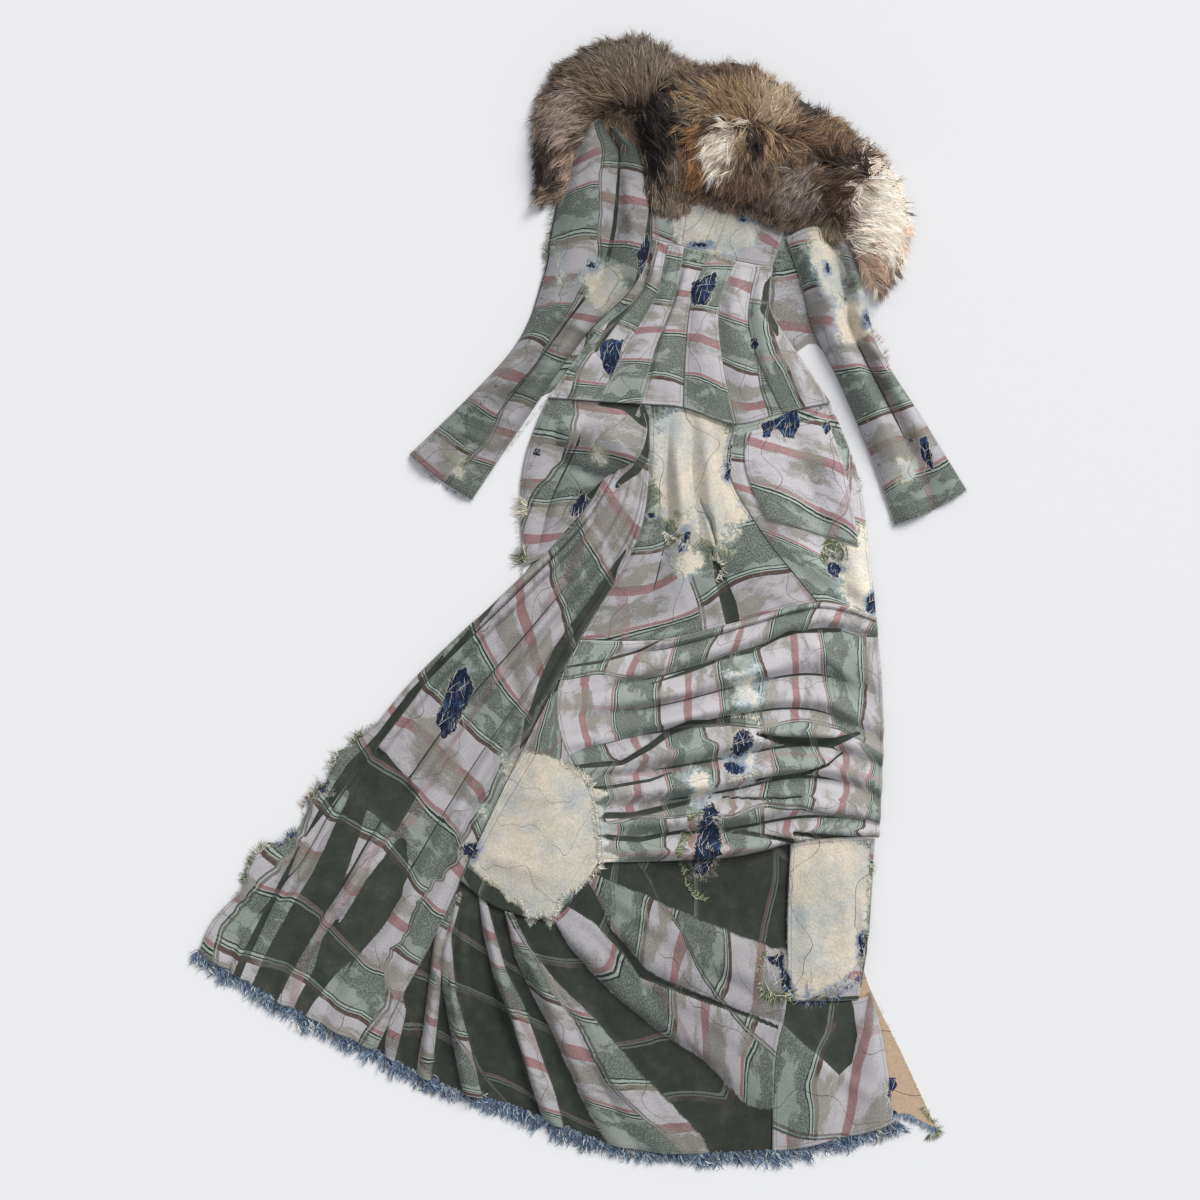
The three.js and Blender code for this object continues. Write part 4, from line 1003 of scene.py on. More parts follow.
# The right patch: a bleached piece with frayed edges, sewn on over the side seam above the corner
# panel.
corner_top = line((326, -635), (442, -632), (461, -618))
cream_outlines["patch_right"] = [
    ([(796, 840), (824, 835), (855, 843), (868, 850), (867, 895), (863, 927), (857, 936), (855, 958),
      (845, 974), (828, 983), (809, 994), (799, 999), (788, 986), (784, 959), (784, 924),
      (790, 866)], 8, 1.25),
]
olive_and_shade_bands["patch_right"] = [
    [(784, 998, 4), (806, 1004, 8), (836, 1004, 9), (862, 1000, 6)],
    [(862, 930, 1), (868, 950, 4), (862, 985, 3)],
]
panel("patch_right", "cream_denim", ["gathered_panel"], map_shift=(0.3, 0.5),
      edges={"top": between(gather_foot, 3, 4.85), "bottom": between(corner_top, 0, 1),
             "left": between(corner_seam, 0, 2), "right": line((464, -373), (456, -523), (442, -632))},
      folds=smooth, runs="down", level=3, ends=(0, 0.3), cell=0.0048)

# The corner panel: the last piece of the hem on the right, sewn below the patch, with an olive field
# at its upper left.
corner_folds = [(0, 0, 0, 7, 0.5), (0.45, 0.5, 0.5, 9, 0.5), (1, 1, 1, 0, 0.5)]
cream_places["corner_panel"] = [(905, 1085, 16, 30, 10, 0.6)]
olive_and_shade_outlines["corner_panel"] = [
    [(768, 984), (846, 982), (853, 1006), (857, 1034), (852, 1062), (838, 1074), (822, 1058), (803, 1043),
     (784, 1024)],
]
panel("corner_panel", "sage_denim", ["pleated_fan", "front_right"], map_shift=(0.22, 0.4825), map_turn=75,
      edges={"left": between(corner_seam, 2, 4), "right": line((461, -618), (483, -715), (498, -830)),
             "top": corner_top, "bottom": between(hem, 7, 9)},
      folds=corner_folds, runs="down", level=1, ends=(0, 0.8), cell=0.0048)

# The sleeves: narrow, with a pleated puff at the shoulder and a raw turned cuff, each lying on its
# own under side.
sleeve_folds = [(0, 0, 0, 20, 0.5), (0.66, 0.62, 0.55, 13, 0.5), (1, 1, 1, 0, 0.5)]
cream_places["sleeve_left"] = [
    (605, 290, 20, 26, 20, 0.95), (560, 275, 10, 34, 5, 0.6), (460, 470, 14, 20, 20, 0.6),
]
cream_places["sleeve_right"] = [
    (826, 268, 16, 40, 20, 0.85), (855, 318, 18, 28, -30, 0.95), (905, 470, 15, 16, 0, 0.7),
]
# Painted shade along the sleeve's inner side, next to the bodice.
olive_and_shade_bands["sleeve_left"] = [[(652, 205, 3), (650, 240, 6), (641, 280, 6), (630, 318, 4), (600, 370, 2)]]
panel("sleeve_left", "sage_denim", ["under_sleeve_left"],
      map_shift=(0.02, 0.15), map_turn=3, map_scale=1.25, material=deep_jacquard,
      edges={"top": line((2, 748), (28, 768), (58, 750)),
             "left": evenly(line((2, 748), (-18, 711), (-38, 645), (-52, 580), (-62, 520), (-112, 402),
                                 (-275, 237))),
             "right": evenly(line((58, 750), (84, 730), (103, 712), (109, 665), (108, 575), (84, 509),
                                  (3, 426), (-75, 317), (-176, 165))),
             "bottom": line((-275, 237), (-227, 197), (-176, 165))},
      folds=sleeve_folds, runs="down", level=0, ends=(0.9, 0.35), cell=0.0042)
panel("sleeve_right", "taupe_denim", ["under_sleeve_right"],
      map_shift=(0.42, 0.25), map_turn=-6, map_scale=1.25,
      edges={"top": line((326, 584), (375, 600), (426, 584)),
             "left": line((326, 584), (349, 517), (370, 437), (410, 357), (458, 245), (501, 125)),
             "right": line((426, 584), (445, 517), (464, 429), (490, 376), (549, 285), (614, 181)),
             "bottom": line((501, 125), (560, 149), (614, 181))},
      folds=sleeve_folds, runs="down", level=0, ends=(0.5, 0.35), cell=0.0042)

# The fronts and the sleeves' under sides lie flat on the table.
flat_denim = denim("Flat jacquard denim", from_map=False)
tree = flat_denim.node_tree
shader = tree.nodes["Principled BSDF"]
checked = shader.inputs["Base Color"].links[0].from_socket
spot = wire(tree, "ShaderNodeTexCoord").outputs["Object"]
across, along, height = wire(tree, "ShaderNodeSeparateXYZ", {0: spot}).outputs
inside = maths(tree, "GREATER_THAN", height, CLOTH / 2)
weave = noise(tree, spot, 160, 6, 0.7).outputs[0]
beige = ramp(tree, weave, [(0.3, tone(0xb89d83)), (0.7, tone(0xcdb69b))]).outputs[0]
indigo_stains = [(891, 1083, 0.021), (893, 1113, 0.0165), (879, 1098, 0.016)]  # reach in metres
patchy_edge = maths(tree, "MULTIPLY", noise(tree, spot, 90, 5, 0.7).outputs[0], 0.022)
for x, y, reach in indigo_stains:
    apart = wire(tree, "ShaderNodeVectorMath", {0: spot, 1: plan(x, y) + (0.002,)},
                 operation="DISTANCE").outputs["Value"]
    stained = maths(tree, "LESS_THAN", maths(tree, "ADD", apart, patchy_edge), reach)
    beige = blend(tree, stained, beige, tone(0x1c2d55))
curve = maths(tree, "MULTIPLY", maths(tree, "SINE", maths(tree, "MULTIPLY", across, 62.0)), 0.006)
stitch_place = maths(tree, "FRACT", maths(tree, "DIVIDE", maths(tree, "ADD", along, curve), 0.092))
off_stitch = maths(tree, "ABSOLUTE", maths(tree, "SUBTRACT", stitch_place, 0.5))
stitched = maths(tree, "LESS_THAN", off_stitch, 0.006)
beige = blend(tree, stitched, beige, THREAD_BROWN)
tree.links.new(blend(tree, inside, checked, beige), shader.inputs["Base Color"])
under_denim = denim("Under sleeve denim", from_map=False)
flat_nodes = {"front_left": under_denim, "front_right": flat_denim,
              "under_sleeve_left": under_denim, "under_sleeve_right": under_denim}
for name, material in flat_nodes.items():
    node = bpy.data.objects[name]
    node.data.materials.clear()
    node.data.materials.append(material)

# The collar: four raccoon-like pelts sewn side by side, each a leather hide under long guard hair. The
# hair grows out in whorls, lies back over the hide, and is dark at its root and tip.
RIM = 0.007  # how thick the collar is at its edges
HIDE_SHARE = 0.55  # how much of the collar's height its hide reaches
HAIR_ROWS = 4  # points along each hair
HAIR_WIDTHS = np.array([0.0012, 0.0011, 0.0008, 0.0])  # at those points, in metres
ROOT_SPREAD, TIP_SPREAD = 0.0045, 0.0022  # how far a clump's hairs stand apart, in metres
BATCH = 1500  # points looked up in the net at a time

# Sections across the collar in millimetres: its inner edge, its outer edge and its height.
collar_sections = [
    (-58, 650, -66, 656, 22), (-42, 690, -72, 725, 36), (-19, 731, -66, 792, 48), (10, 782, -35, 856, 58),
    (64, 774, 38, 894, 68), (109, 725, 109, 896, 74), (138, 658, 189, 853, 50), (208, 635, 245, 862, 70),
    (261, 622, 304, 837, 76), (317, 603, 373, 786, 60), (373, 610, 432, 750, 68), (429, 597, 486, 696, 56),
    (454, 555, 522, 610, 48), (477, 510, 496, 514, 25),
]
collar_inner = line(*[row[0:2] for row in collar_sections])
collar_outer = line(*[row[2:4] for row in collar_sections])
collar_heights = np.array([row[4] for row in collar_sections]) / 1000
LAST_SECTION = len(collar_sections) - 1


def collar_point(section, share):
    """The collar's top at a place along its sections and a share out from its inner edge."""
    spot = np.clip(section / LAST_SECTION, 0, 1)
    inner, outer = collar_inner(spot), collar_outer(spot)
    first = np.minimum(section.astype(int), LAST_SECTION - 1)
    step = smoothstep(section - first, 0, 1)
    height = collar_heights[first] * (1 - step) + collar_heights[first + 1] * step
    dome = np.sqrt(np.clip(1 - (2 * share - 1) ** 2, 0, 1))
    return np.column_stack([inner + (outer - inner) * share[:, None], RIM + (height - RIM) * dome])


# How the hair lies, by the plan: where, which way in degrees from the right, and how long in
# millimetres.
hair_flow = np.array([
    (545, 150, 222, 40), (552, 118, 195, 44), (575, 75, 140, 50), (608, 55, 112, 52), (642, 55, 82, 52),
    (670, 60, 58, 46), (692, 75, 30, 36), (600, 98, 150, 52), (640, 92, 100, 54), (618, 128, 262, 48),
    (650, 150, 276, 52), (668, 176, 255, 50), (560, 185, 205, 34), (561, 160, 262, 34), (556, 178, 250, 34),
    (560, 196, 235, 34), (668, 110, 300, 40), (590, 112, 215, 40), (700, 88, 130, 44), (720, 72, 108, 46),
    (760, 76, 86, 48), (790, 98, 55, 48), (700, 122, 190, 42), (730, 112, 120, 46), (768, 118, 66, 50),
    (800, 128, 32, 46), (690, 162, 238, 46), (716, 158, 232, 48), (736, 172, 250, 46), (752, 150, 268, 44),
    (702, 195, 246, 40), (742, 200, 262, 40), (772, 162, 290, 44), (822, 116, 50, 44), (852, 132, 40, 44),
    (876, 152, 25, 42), (832, 152, 62, 44), (800, 172, 226, 42), (790, 202, 240, 40), (826, 204, 256, 38),
    (846, 186, 190, 34), (882, 172, 28, 40), (900, 202, 4, 40), (905, 232, 342, 40), (890, 262, 306, 40),
    (870, 280, 282, 34), (866, 236, 326, 40), (866, 206, 350, 38),
], float)

# The colours of the hair, by the plan: middle, half width and half height, then root, middle and tip.
hair_regions = [
    (630, 90, 95, 70, 0x2d2420, 0x837363, 0x1c1512), (615, 105, 50, 40, 0x28201b, 0x8e7b68, 0x251c17),
    (640, 68, 50, 24, 0x342a25, 0x928373, 0x15100e), (560, 125, 24, 34, 0x5f5249, 0xaa998c, 0x847468),
    (546, 170, 20, 26, 0x1f1a18, 0x4a403a, 0x14100f), (566, 172, 14, 20, 0x6d5a4c, 0xb39a84, 0x4a3c33),
    (662, 150, 26, 44, 0x0e0c0b, 0x2b2421, 0x0c0a09), (672, 178, 12, 22, 0x2a211c, 0x9a8673, 0x3a2f29),
    (745, 115, 62, 62, 0x4a3a2e, 0xb3936f, 0x33271f), (775, 105, 26, 28, 0x7b6553, 0xcdb699, 0x86705c),
    (735, 72, 40, 16, 0x241c18, 0x8d745d, 0x120e0d), (696, 168, 12, 36, 0x4f3524, 0xa97c55, 0x5f4430),
    (720, 158, 17, 30, 0xb7a592, 0xeaddcb, 0xecdfcd), (706, 140, 9, 13, 0x2b211b, 0x6b5443, 0x241b16),
    (751, 148, 7, 30, 0x120e0c, 0x30261f, 0x0f0c0a), (742, 192, 24, 22, 0x2f241e, 0x8b7361, 0x3d2f26),
    (815, 150, 40, 40, 0x2b211b, 0x8a6f55, 0x1b1512), (812, 112, 20, 12, 0x14100e, 0x4b3c31, 0x0f0c0a),
    (848, 128, 26, 18, 0x2f241d, 0xa0845f, 0x1a1411), (800, 196, 24, 26, 0x4a3d36, 0xa3958d, 0x55463e),
    (835, 190, 24, 22, 0x1b1512, 0x6e5744, 0x241b16), (838, 168, 30, 12, 0x120e0c, 0x453629, 0x0e0b0a),
    (884, 214, 33, 66, 0xf6d9bd, 0xfff0df, 0xffecd6), (862, 184, 9, 12, 0xc8b6a4, 0xf5eadc, 0xd6c3af),
    (890, 158, 16, 12, 0x4c3d33, 0xb59d86, 0x2b221d), (905, 248, 9, 22, 0xd8b79c, 0xf5dcc6, 0xd2b196),
    (872, 272, 14, 16, 0x8d7361, 0xccb09c, 0xa0816b), (850, 232, 6, 24, 0x4a3b33, 0xa89080, 0x57463c),
]


def strands(name, paths, sides, widths, tones, material):
    """Many tapered ribbons as one mesh: a row of points, a side direction, widths and tones for each."""
    count, rows = paths.shape[:2]
    shift = sides[:, None, :] * widths[:, :-1, None] / 2
    body = np.stack([paths[:, :-1] - shift, paths[:, :-1] + shift], axis=2).reshape(count, -1, 3)
    points = np.concatenate([body, paths[:, -1:]], axis=1)
    per_strand = 2 * rows - 1
    quads = [(2 * row, 2 * row + 1, 2 * row + 3, 2 * row + 2) for row in range(rows - 2)]
    tip = [2 * rows - 4, 2 * rows - 3, 2 * rows - 2]
    pattern = np.array([corner for quad in quads for corner in quad] + tip)
    corners = (np.arange(count)[:, None] * per_strand + pattern).ravel()
    sizes = np.tile(np.array([4] * len(quads) + [3]), count)
    data = bpy.data.meshes.new(name)
    data.vertices.add(count * per_strand)
    data.vertices.foreach_set("co", points.ravel())
    data.loops.add(len(corners))
    data.loops.foreach_set("vertex_index", corners)
    data.polygons.add(len(sizes))
    data.polygons.foreach_set("loop_start", np.concatenate([[0], np.cumsum(sizes)[:-1]]))
    data.update(calc_edges=True)
    data.validate()
    data.polygons.foreach_set("use_smooth", np.ones(len(data.polygons), bool))
    spread = np.concatenate([np.repeat(tones[:, :-1], 2, axis=1), tones[:, -1:]], axis=1)
    paint = data.color_attributes.new("tone", "FLOAT_COLOR", "POINT")
    solid = np.ones(spread.shape[:2] + (1,))
    paint.data.foreach_set("color", np.concatenate([spread, solid], axis=2).ravel())
    data.materials.append(material)
    piece = bpy.data.objects.new(name, data)
    bpy.context.collection.objects.link(piece)
    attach(piece, "root")
    return piece


def strand_material(name, roughness, sheen, painted_glow):
    """The finish of one kind of strand: its points' own tone, with fine streaks along it, and a painted glow
    of that tone.
    """
    material = bpy.data.materials.new(name)
    material.use_nodes = True
    tree = material.node_tree
    shader = tree.nodes["Principled BSDF"]
    shader.inputs["Roughness"].default_value = roughness
    shader.inputs["Sheen Weight"].default_value = sheen
    shader.inputs["Specular IOR Level"].default_value = 0.3
    own = wire(tree, "ShaderNodeAttribute", attribute_name="tone").outputs["Color"]
    spot = wire(tree, "ShaderNodeTexCoord").outputs["Object"]
    streak = ramp(tree, noise(tree, spot, 300, 3).outputs[0],
                  [(0.3, grey(0.8)), (0.7, grey(1.15))]).outputs[0]
    tree.links.new(blend(tree, 1.0, own, streak, "MULTIPLY"), shader.inputs["Base Color"])
    # So fine a strand scatters light all round, so its shading leans towards straight up.
    normal = wire(tree, "ShaderNodeNewGeometry").outputs["Normal"]
    facing = wire(tree, "ShaderNodeVectorMath", {0: normal, 1: (0.5, 0.5, 0.5), 2: (0.0, 0.0, 0.6)},
                  operation="MULTIPLY_ADD").outputs[0]
    upright = wire(tree, "ShaderNodeVectorMath", {0: facing}, operation="NORMALIZE").outputs[0]
    # A painted glow in the strand's own tone stands in for light passed on from strand to strand.
    tree.links.new(own, shader.inputs["Emission Color"])
    shader.inputs["Emission Strength"].default_value = painted_glow  # light passed on from strand to strand
    tree.links.new(upright, shader.inputs["Normal"])
    return material


# A fine net of points over the collar finds how high it is, and how far outside it a hair would end.
net_sections, net_shares = np.meshgrid(np.linspace(0, LAST_SECTION, 240), np.linspace(0, 1, 48),
                                       indexing="ij")
net = collar_point(net_sections.ravel(), net_shares.ravel())


def over_collar(points):
    """The collar's height under each point, and the point's distance from the collar."""
    heights, gaps = np.empty(len(points)), np.empty(len(points))
    for first in range(0, len(points), BATCH):
        part = points[first:first + BATCH]
        away = np.linalg.norm(part[:, None, :2] - net[None, :, :2], axis=2)
        nearest = away.argmin(axis=1)
        heights[first:first + BATCH] = net[nearest, 2]
        gaps[first:first + BATCH] = away[np.arange(len(part)), nearest]
    return heights, gaps


def flow_at(points):
    """The way the hair lies and its length at each point, from the nearest rows of the table."""
    x, y = plan(hair_flow[:, 0], hair_flow[:, 1])
    away = np.hypot(points[:, [0]] - x, points[:, [1]] - y) / PLAN_SQUARE
    weight = 1 / (away ** 2 + 30) ** 2
    angle = np.radians(hair_flow[:, 2])
    way = np.column_stack([weight @ np.cos(angle), weight @ np.sin(angle)])
    length = (weight @ hair_flow[:, 3]) / weight.sum(axis=1) / 1000
    return way / np.linalg.norm(way, axis=1)[:, None], length


def hair_tones(points):
    """Root, middle and tip colours for each point: the last region whose mask beats a chance takes it."""
    usual = np.array([tone(code)[:3] for code in (0x342b27, 0x8f7d6c, 0x1d1714)])
    tones = np.tile(usual, (len(points), 1, 1))
    for x, y, half_width, half_height, *codes in hair_regions:
        middle = plan(x, y)
        reach = np.hypot((points[:, 0] - middle[0]) / PLAN_SQUARE / half_width,
                         (points[:, 1] - middle[1]) / PLAN_SQUARE / half_height)
        taken = reach < chance.normal(0.92, 0.2, len(points))
        tones[taken] = [tone(code)[:3] for code in codes]
    return tones


# How far hair spreads in over the sleeves: the place along the sections, and the share of the width.
inner_spill = [(0, 0.5), (0.6, 0.9), (2.6, 0.6), (3.4, 0.2), (5.6, 0.2), (6.4, 0), (9.8, 0), (10.4, 0.15),
               (12, 0.1)]


def pelt(name, first, last, clumps, hairs, leather, hair):
    """One pelt: its hide, and its hair in clumps that draw together towards their tips."""
    along, out = np.linspace(first, last, 14 * (last - first) + 1), np.linspace(0, 1, 25)
    section, share = np.meshgrid(along, out, indexing="ij")
    grid = collar_point(section.ravel(), share.ravel()).reshape(section.shape + (3,))
    over_yoke = smoothstep(section, 5.0, 5.6) * (1 - smoothstep(section, 9.0, 9.6)) * (share < 0.5)
    grid[..., 2] = 0.9 * RIM + HIDE_SHARE * (grid[..., 2] - RIM) + 0.0022 * over_yoke
    grid = grid[:, ::-1]
    hide = finish_sheet("hide_" + name, grid, np.zeros(grid.shape[:2]), (0, 0), 0, leather)
    declare("pelt_" + name)

    tried = clumps * 3
    section, share = chance.uniform(first, last, tried), chance.uniform(0.02, 0.98, tried)
    spill = np.interp(section, *zip(*inner_spill))
    share = np.where(chance.uniform(0, 1, tried) < 0.3 * (spill > 0), -spill * share, share)
    start, end = collar_inner(section / LAST_SECTION), collar_outer(section / LAST_SECTION)
    keep = chance.uniform(0, 1, tried) < np.linalg.norm(end - start, axis=1) / 0.26
    roots = collar_point(section[keep], share[keep])
    way, length = flow_at(roots)
    turn = chance.normal(0, 0.3, len(roots))
    way = np.column_stack([way[:, 0] * np.cos(turn) - way[:, 1] * np.sin(turn),
                           way[:, 0] * np.sin(turn) + way[:, 1] * np.cos(turn)])
    length *= chance.uniform(0.75, 1.1, len(roots))
    allowed = 0.001 + 0.016 * chance.uniform(0, 1, len(roots)) ** 2 + 0.03 * (share[keep] < 0)
    for _ in range(4):
        _, gap = over_collar(roots[:, :2] + way * length[:, None])
        length = np.where(gap > allowed, length * 0.82, length)
    tip_height, gap = over_collar(roots[:, :2] + way * length[:, None])
    chosen = np.flatnonzero(gap <= allowed + 0.002)[:clumps]
    roots, way, length, tip_height = roots[chosen], way[chosen], length[chosen], tip_height[chosen]
    base_tones = hair_tones(roots[:, :2] + way * length[:, None] * 0.5)

    clump = np.repeat(np.arange(len(roots)), hairs)
    count = len(clump)
    root = roots[clump].copy()
    root[:, :2] += chance.normal(0, ROOT_SPREAD, (count, 2))
    root[:, 2] = 0.9 * RIM + HIDE_SHARE * (root[:, 2] - RIM)
    stray = 0.2 * (chance.uniform(0, 1, count) < 0.08)
    reach = (length[clump] * (chance.uniform(0.7, 1.08, count) + stray))[:, None]
    tip = roots[clump, :2] + way[clump] * reach + chance.normal(0, TIP_SPREAD, (count, 2))
    top = np.maximum(tip_height[clump] * np.repeat(chance.uniform(0.72, 1.04, len(roots)), hairs)
                     + chance.normal(0, 0.0015, count), 0.003)
    curl = chance.normal(0, 0.12, count)[:, None] * reach
    across_way = np.column_stack([-way[clump][:, 1], way[clump][:, 0]])
    steps = np.linspace(0, 1, HAIR_ROWS)
    paths = np.empty((count, HAIR_ROWS, 3))
    for row, step in enumerate(steps):
        bow = math.sin(math.pi * step)
        paths[:, row, :2] = root[:, :2] * (1 - step) + tip * step + across_way * curl * bow * 0.5
        paths[:, row, 2] = (root[:, 2] + (top - root[:, 2]) * (1 - (1 - step) ** 2)
                            + 0.16 * reach[:, 0] * bow)
    roll = chance.normal(0, 0.7, count)
    sides = np.column_stack([across_way * np.cos(roll)[:, None], np.sin(roll)])
    widths = HAIR_WIDTHS[None, :] * chance.uniform(0.6, 1.25, (count, 1))
    own = base_tones[clump]
    kind = chance.uniform(0, 1, count)
    own[kind > 0.82] = own[kind > 0.82][:, [1, 1, 1]]
    own[kind < 0.1] = own[kind < 0.1][:, [2, 2, 2]]
    own = own * np.exp(chance.normal(0, 0.16, len(roots)))[clump, None, None]
    own = own * np.exp(chance.normal(0, 0.2, (count, 1, 1)))
    low, high = 0.35 * own[:, 0] + 0.65 * own[:, 1], own[:, 1] * 0.8 + own[:, 2] * 0.2
    tones = np.stack([own[:, 0], low, high, own[:, 2]], axis=1)
    fur = strands("fur_" + name, paths, sides, widths, np.clip(tones, 0, 1), hair)


fur_hair = strand_material("Fur hair", roughness=0.5, sheen=0.15, painted_glow=0.14)
pale_hair = strand_material("Pale fur hair", roughness=0.5, sheen=0.15, painted_glow=0.3)


def underfur(name, low, high):
    """The short dense fur at the roots of the hair, a blend of two tones."""
    material = bpy.data.materials.new(name)
    material.use_nodes = True
    shader = material.node_tree.nodes["Principled BSDF"]
    shader.inputs["Roughness"].default_value = 0.9
    spot = wire(material.node_tree, "ShaderNodeTexCoord").outputs["Object"]
    fluff = noise(material.node_tree, spot, 60, 8, 0.7).outputs[0]
    fuzz = ramp(material.node_tree, fluff, [(0.3, low), (0.7, high)]).outputs[0]
    material.node_tree.links.new(fuzz, shader.inputs["Base Color"])
    return material


dark_underfur = underfur("Dark underfur", tone(0x15110f), tone(0x4a3d34))
pale_underfur = underfur("Pale underfur", tone(0x8d7a6a), tone(0xe4d4c2))
# Each pelt: its name, its first and last section, its clumps, the hairs in each, and its finishes.
pelt("left", 0, 6, 2100, 14, dark_underfur, fur_hair)
pelt("centre", 6, 9, 1500, 14, dark_underfur, fur_hair)
pelt("right", 9, 11, 950, 14, dark_underfur, fur_hair)
pelt("end", 11, 13, 820, 14, pale_underfur, pale_hair)

# The hem: the denim's own yarns, unravelled to a curly fringe in bunches, blue with a few white ones.
FRINGE_STRIPS = 6
BUNCH = 0.0075  # metres of hem to each bunch
YARNS = 17  # in each bunch
YARN_ROWS = 7
cotton_yarn = strand_material("Frayed yarn", roughness=0.85, sheen=0.1, painted_glow=0.03)


def edge_frame(curve, spot, reach=0.004):
    """A point of a curve, and the unit vectors along it and out of it to the right."""
    here = curve(spot)
    along = curve(np.clip(spot + reach, 0, 1)) - curve(np.clip(spot - reach, 0, 1))
    along /= np.linalg.norm(along, axis=1)[:, None]
    return here, along, np.column_stack([along[:, 1], -along[:, 0]])


def curly(start, way, side, length, radius, turns, phase, rise, rows):
    """Paths of curly yarns that leave their starts along a way and wind about it."""
    steps = np.linspace(0, 1, rows)[None, :, None]
    measures = (length, radius, turns, phase, rise)
    length, radius, turns, phase, rise = (each[:, None, None] for each in measures)
    wind = phase + 2 * math.pi * turns * steps
    flat = (start[:, None, :] + way[:, None, :] * length * steps
            + side[:, None, :] * radius * (np.sin(wind) - np.sin(phase)) * (0.3 + steps))
    height = rise * (1 - steps) + 0.003 + radius * np.cos(wind) * np.minimum(steps * 3, 1)
    return np.concatenate([flat, np.maximum(height, 0.0006)], axis=2)


def picked(codes, shares, count):
    """A colour for each of many strands, picked by chance from a few, and a little lighter or darker."""
    choice = chance.choice(len(codes), count, p=np.array(shares) / sum(shares))
    base = np.array([tone(code)[:3] for code in codes])[choice]
    return np.clip(base * np.exp(chance.normal(0, 0.22, (count, 1))), 0, 1)


for strip in range(FRINGE_STRIPS):
    stretch = hem(np.linspace(strip, strip + 1, 40) / FRINGE_STRIPS)
    length = np.linalg.norm(np.diff(stretch, axis=0), axis=1).sum()
    bunches = int(length / BUNCH)
    spot = (strip + (np.arange(bunches) + chance.uniform(0.1, 0.9, bunches)) / bunches) / FRINGE_STRIPS
    lean, long = chance.normal(0, 0.45, bunches), chance.uniform(0.017, 0.035, bunches)
    whose = np.repeat(np.arange(bunches), YARNS)
    count = len(whose)
    here, along, out = edge_frame(hem, spot[whose])
    here = here + along * chance.normal(0, 0.0028, (count, 1))
    here = here + out * chance.uniform(-0.004, 0.001, (count, 1))
    tilt = lean[whose] + chance.normal(0, 0.35, count)
    way = out * np.cos(tilt)[:, None] + along * np.sin(tilt)[:, None]
    side = along * np.cos(tilt)[:, None] - out * np.sin(tilt)[:, None]
    lengths, radii = long[whose] * chance.uniform(0.6, 1.1, count), chance.uniform(0.001, 0.0045, count)
    turns, phases = chance.uniform(0.5, 1.9, count), chance.uniform(0, 6.28, count)
    rises = chance.uniform(0.001, 0.006, count)
    paths = curly(here, way, side, lengths, radii, turns, phases, rises, YARN_ROWS)
    pale = chance.uniform(0, 1, bunches)[whose] < 0.04
    own = picked([0x7c90a6, 0x5d738f, 0xa0afbd, 0x455a78, 0xc2cbd1, 0xe9e1d3],
                 [6, 5, 5, 2, 1.6, 0.9], count)
    own[pale] = np.array(tone(0xe6ddc9)[:3]) * chance.uniform(0.75, 1.05, (pale.sum(), 1))
    # Painted shade: each yarn darker at its root, in the bunch, and lighter at its tip.
    shade = np.linspace(0.6, 1.1, YARN_ROWS)[None, :, None]
    widths = np.linspace(0.0026, 0.0015, YARN_ROWS)[None, :] * chance.uniform(0.7, 1.2, (count, 1))
    roll = chance.uniform(-0.9, 0.9, count)
    sides = np.column_stack([side * np.cos(roll)[:, None], np.sin(roll)])
    fringe = strands("fringe_%d" % (strip + 1), paths, sides, widths, own[:, None, :] * shade, cotton_yarn)
    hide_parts("hem_fringe_%d" % (strip + 1))

# The raw edges: yarns and fluff that stand out of the torn and unhemmed edges. A row is an edge by the
# plan, with the yarns to its left as it is walked, how far they reach and how many there are to each
# 10 squares, and the kind of yarn.
yarn_kinds = {
    "cream": ([0xe6dfce, 0xcfc8b4, 0xa9b5b4, 0xf2ede0], [4, 3, 1, 2]),
    "green": ([0x8a9370, 0x5f6a52, 0xc6c8a4, 0x3b443a, 0xd9d6c2], [4, 4, 2, 2, 1]),
    "sage": ([0x6f7d73, 0x4c574f, 0x98a59b, 0xb7b8ac, 0x323a34], [4, 3, 2, 1, 2]),
    "blue": ([0x22355c, 0x3b5582, 0x8fa3bb, 0xd5d6d0], [4, 3, 2, 1.5]),
    "denim": ([0x74879e, 0x566b87, 0x97a7b7, 0xb9c3ca], [5, 4, 3, 1]),
    "pink": ([0xb98d8a, 0xd8c3bb, 0x8f6c6a, 0xe5ddd2], [3, 2, 2, 2]),
}
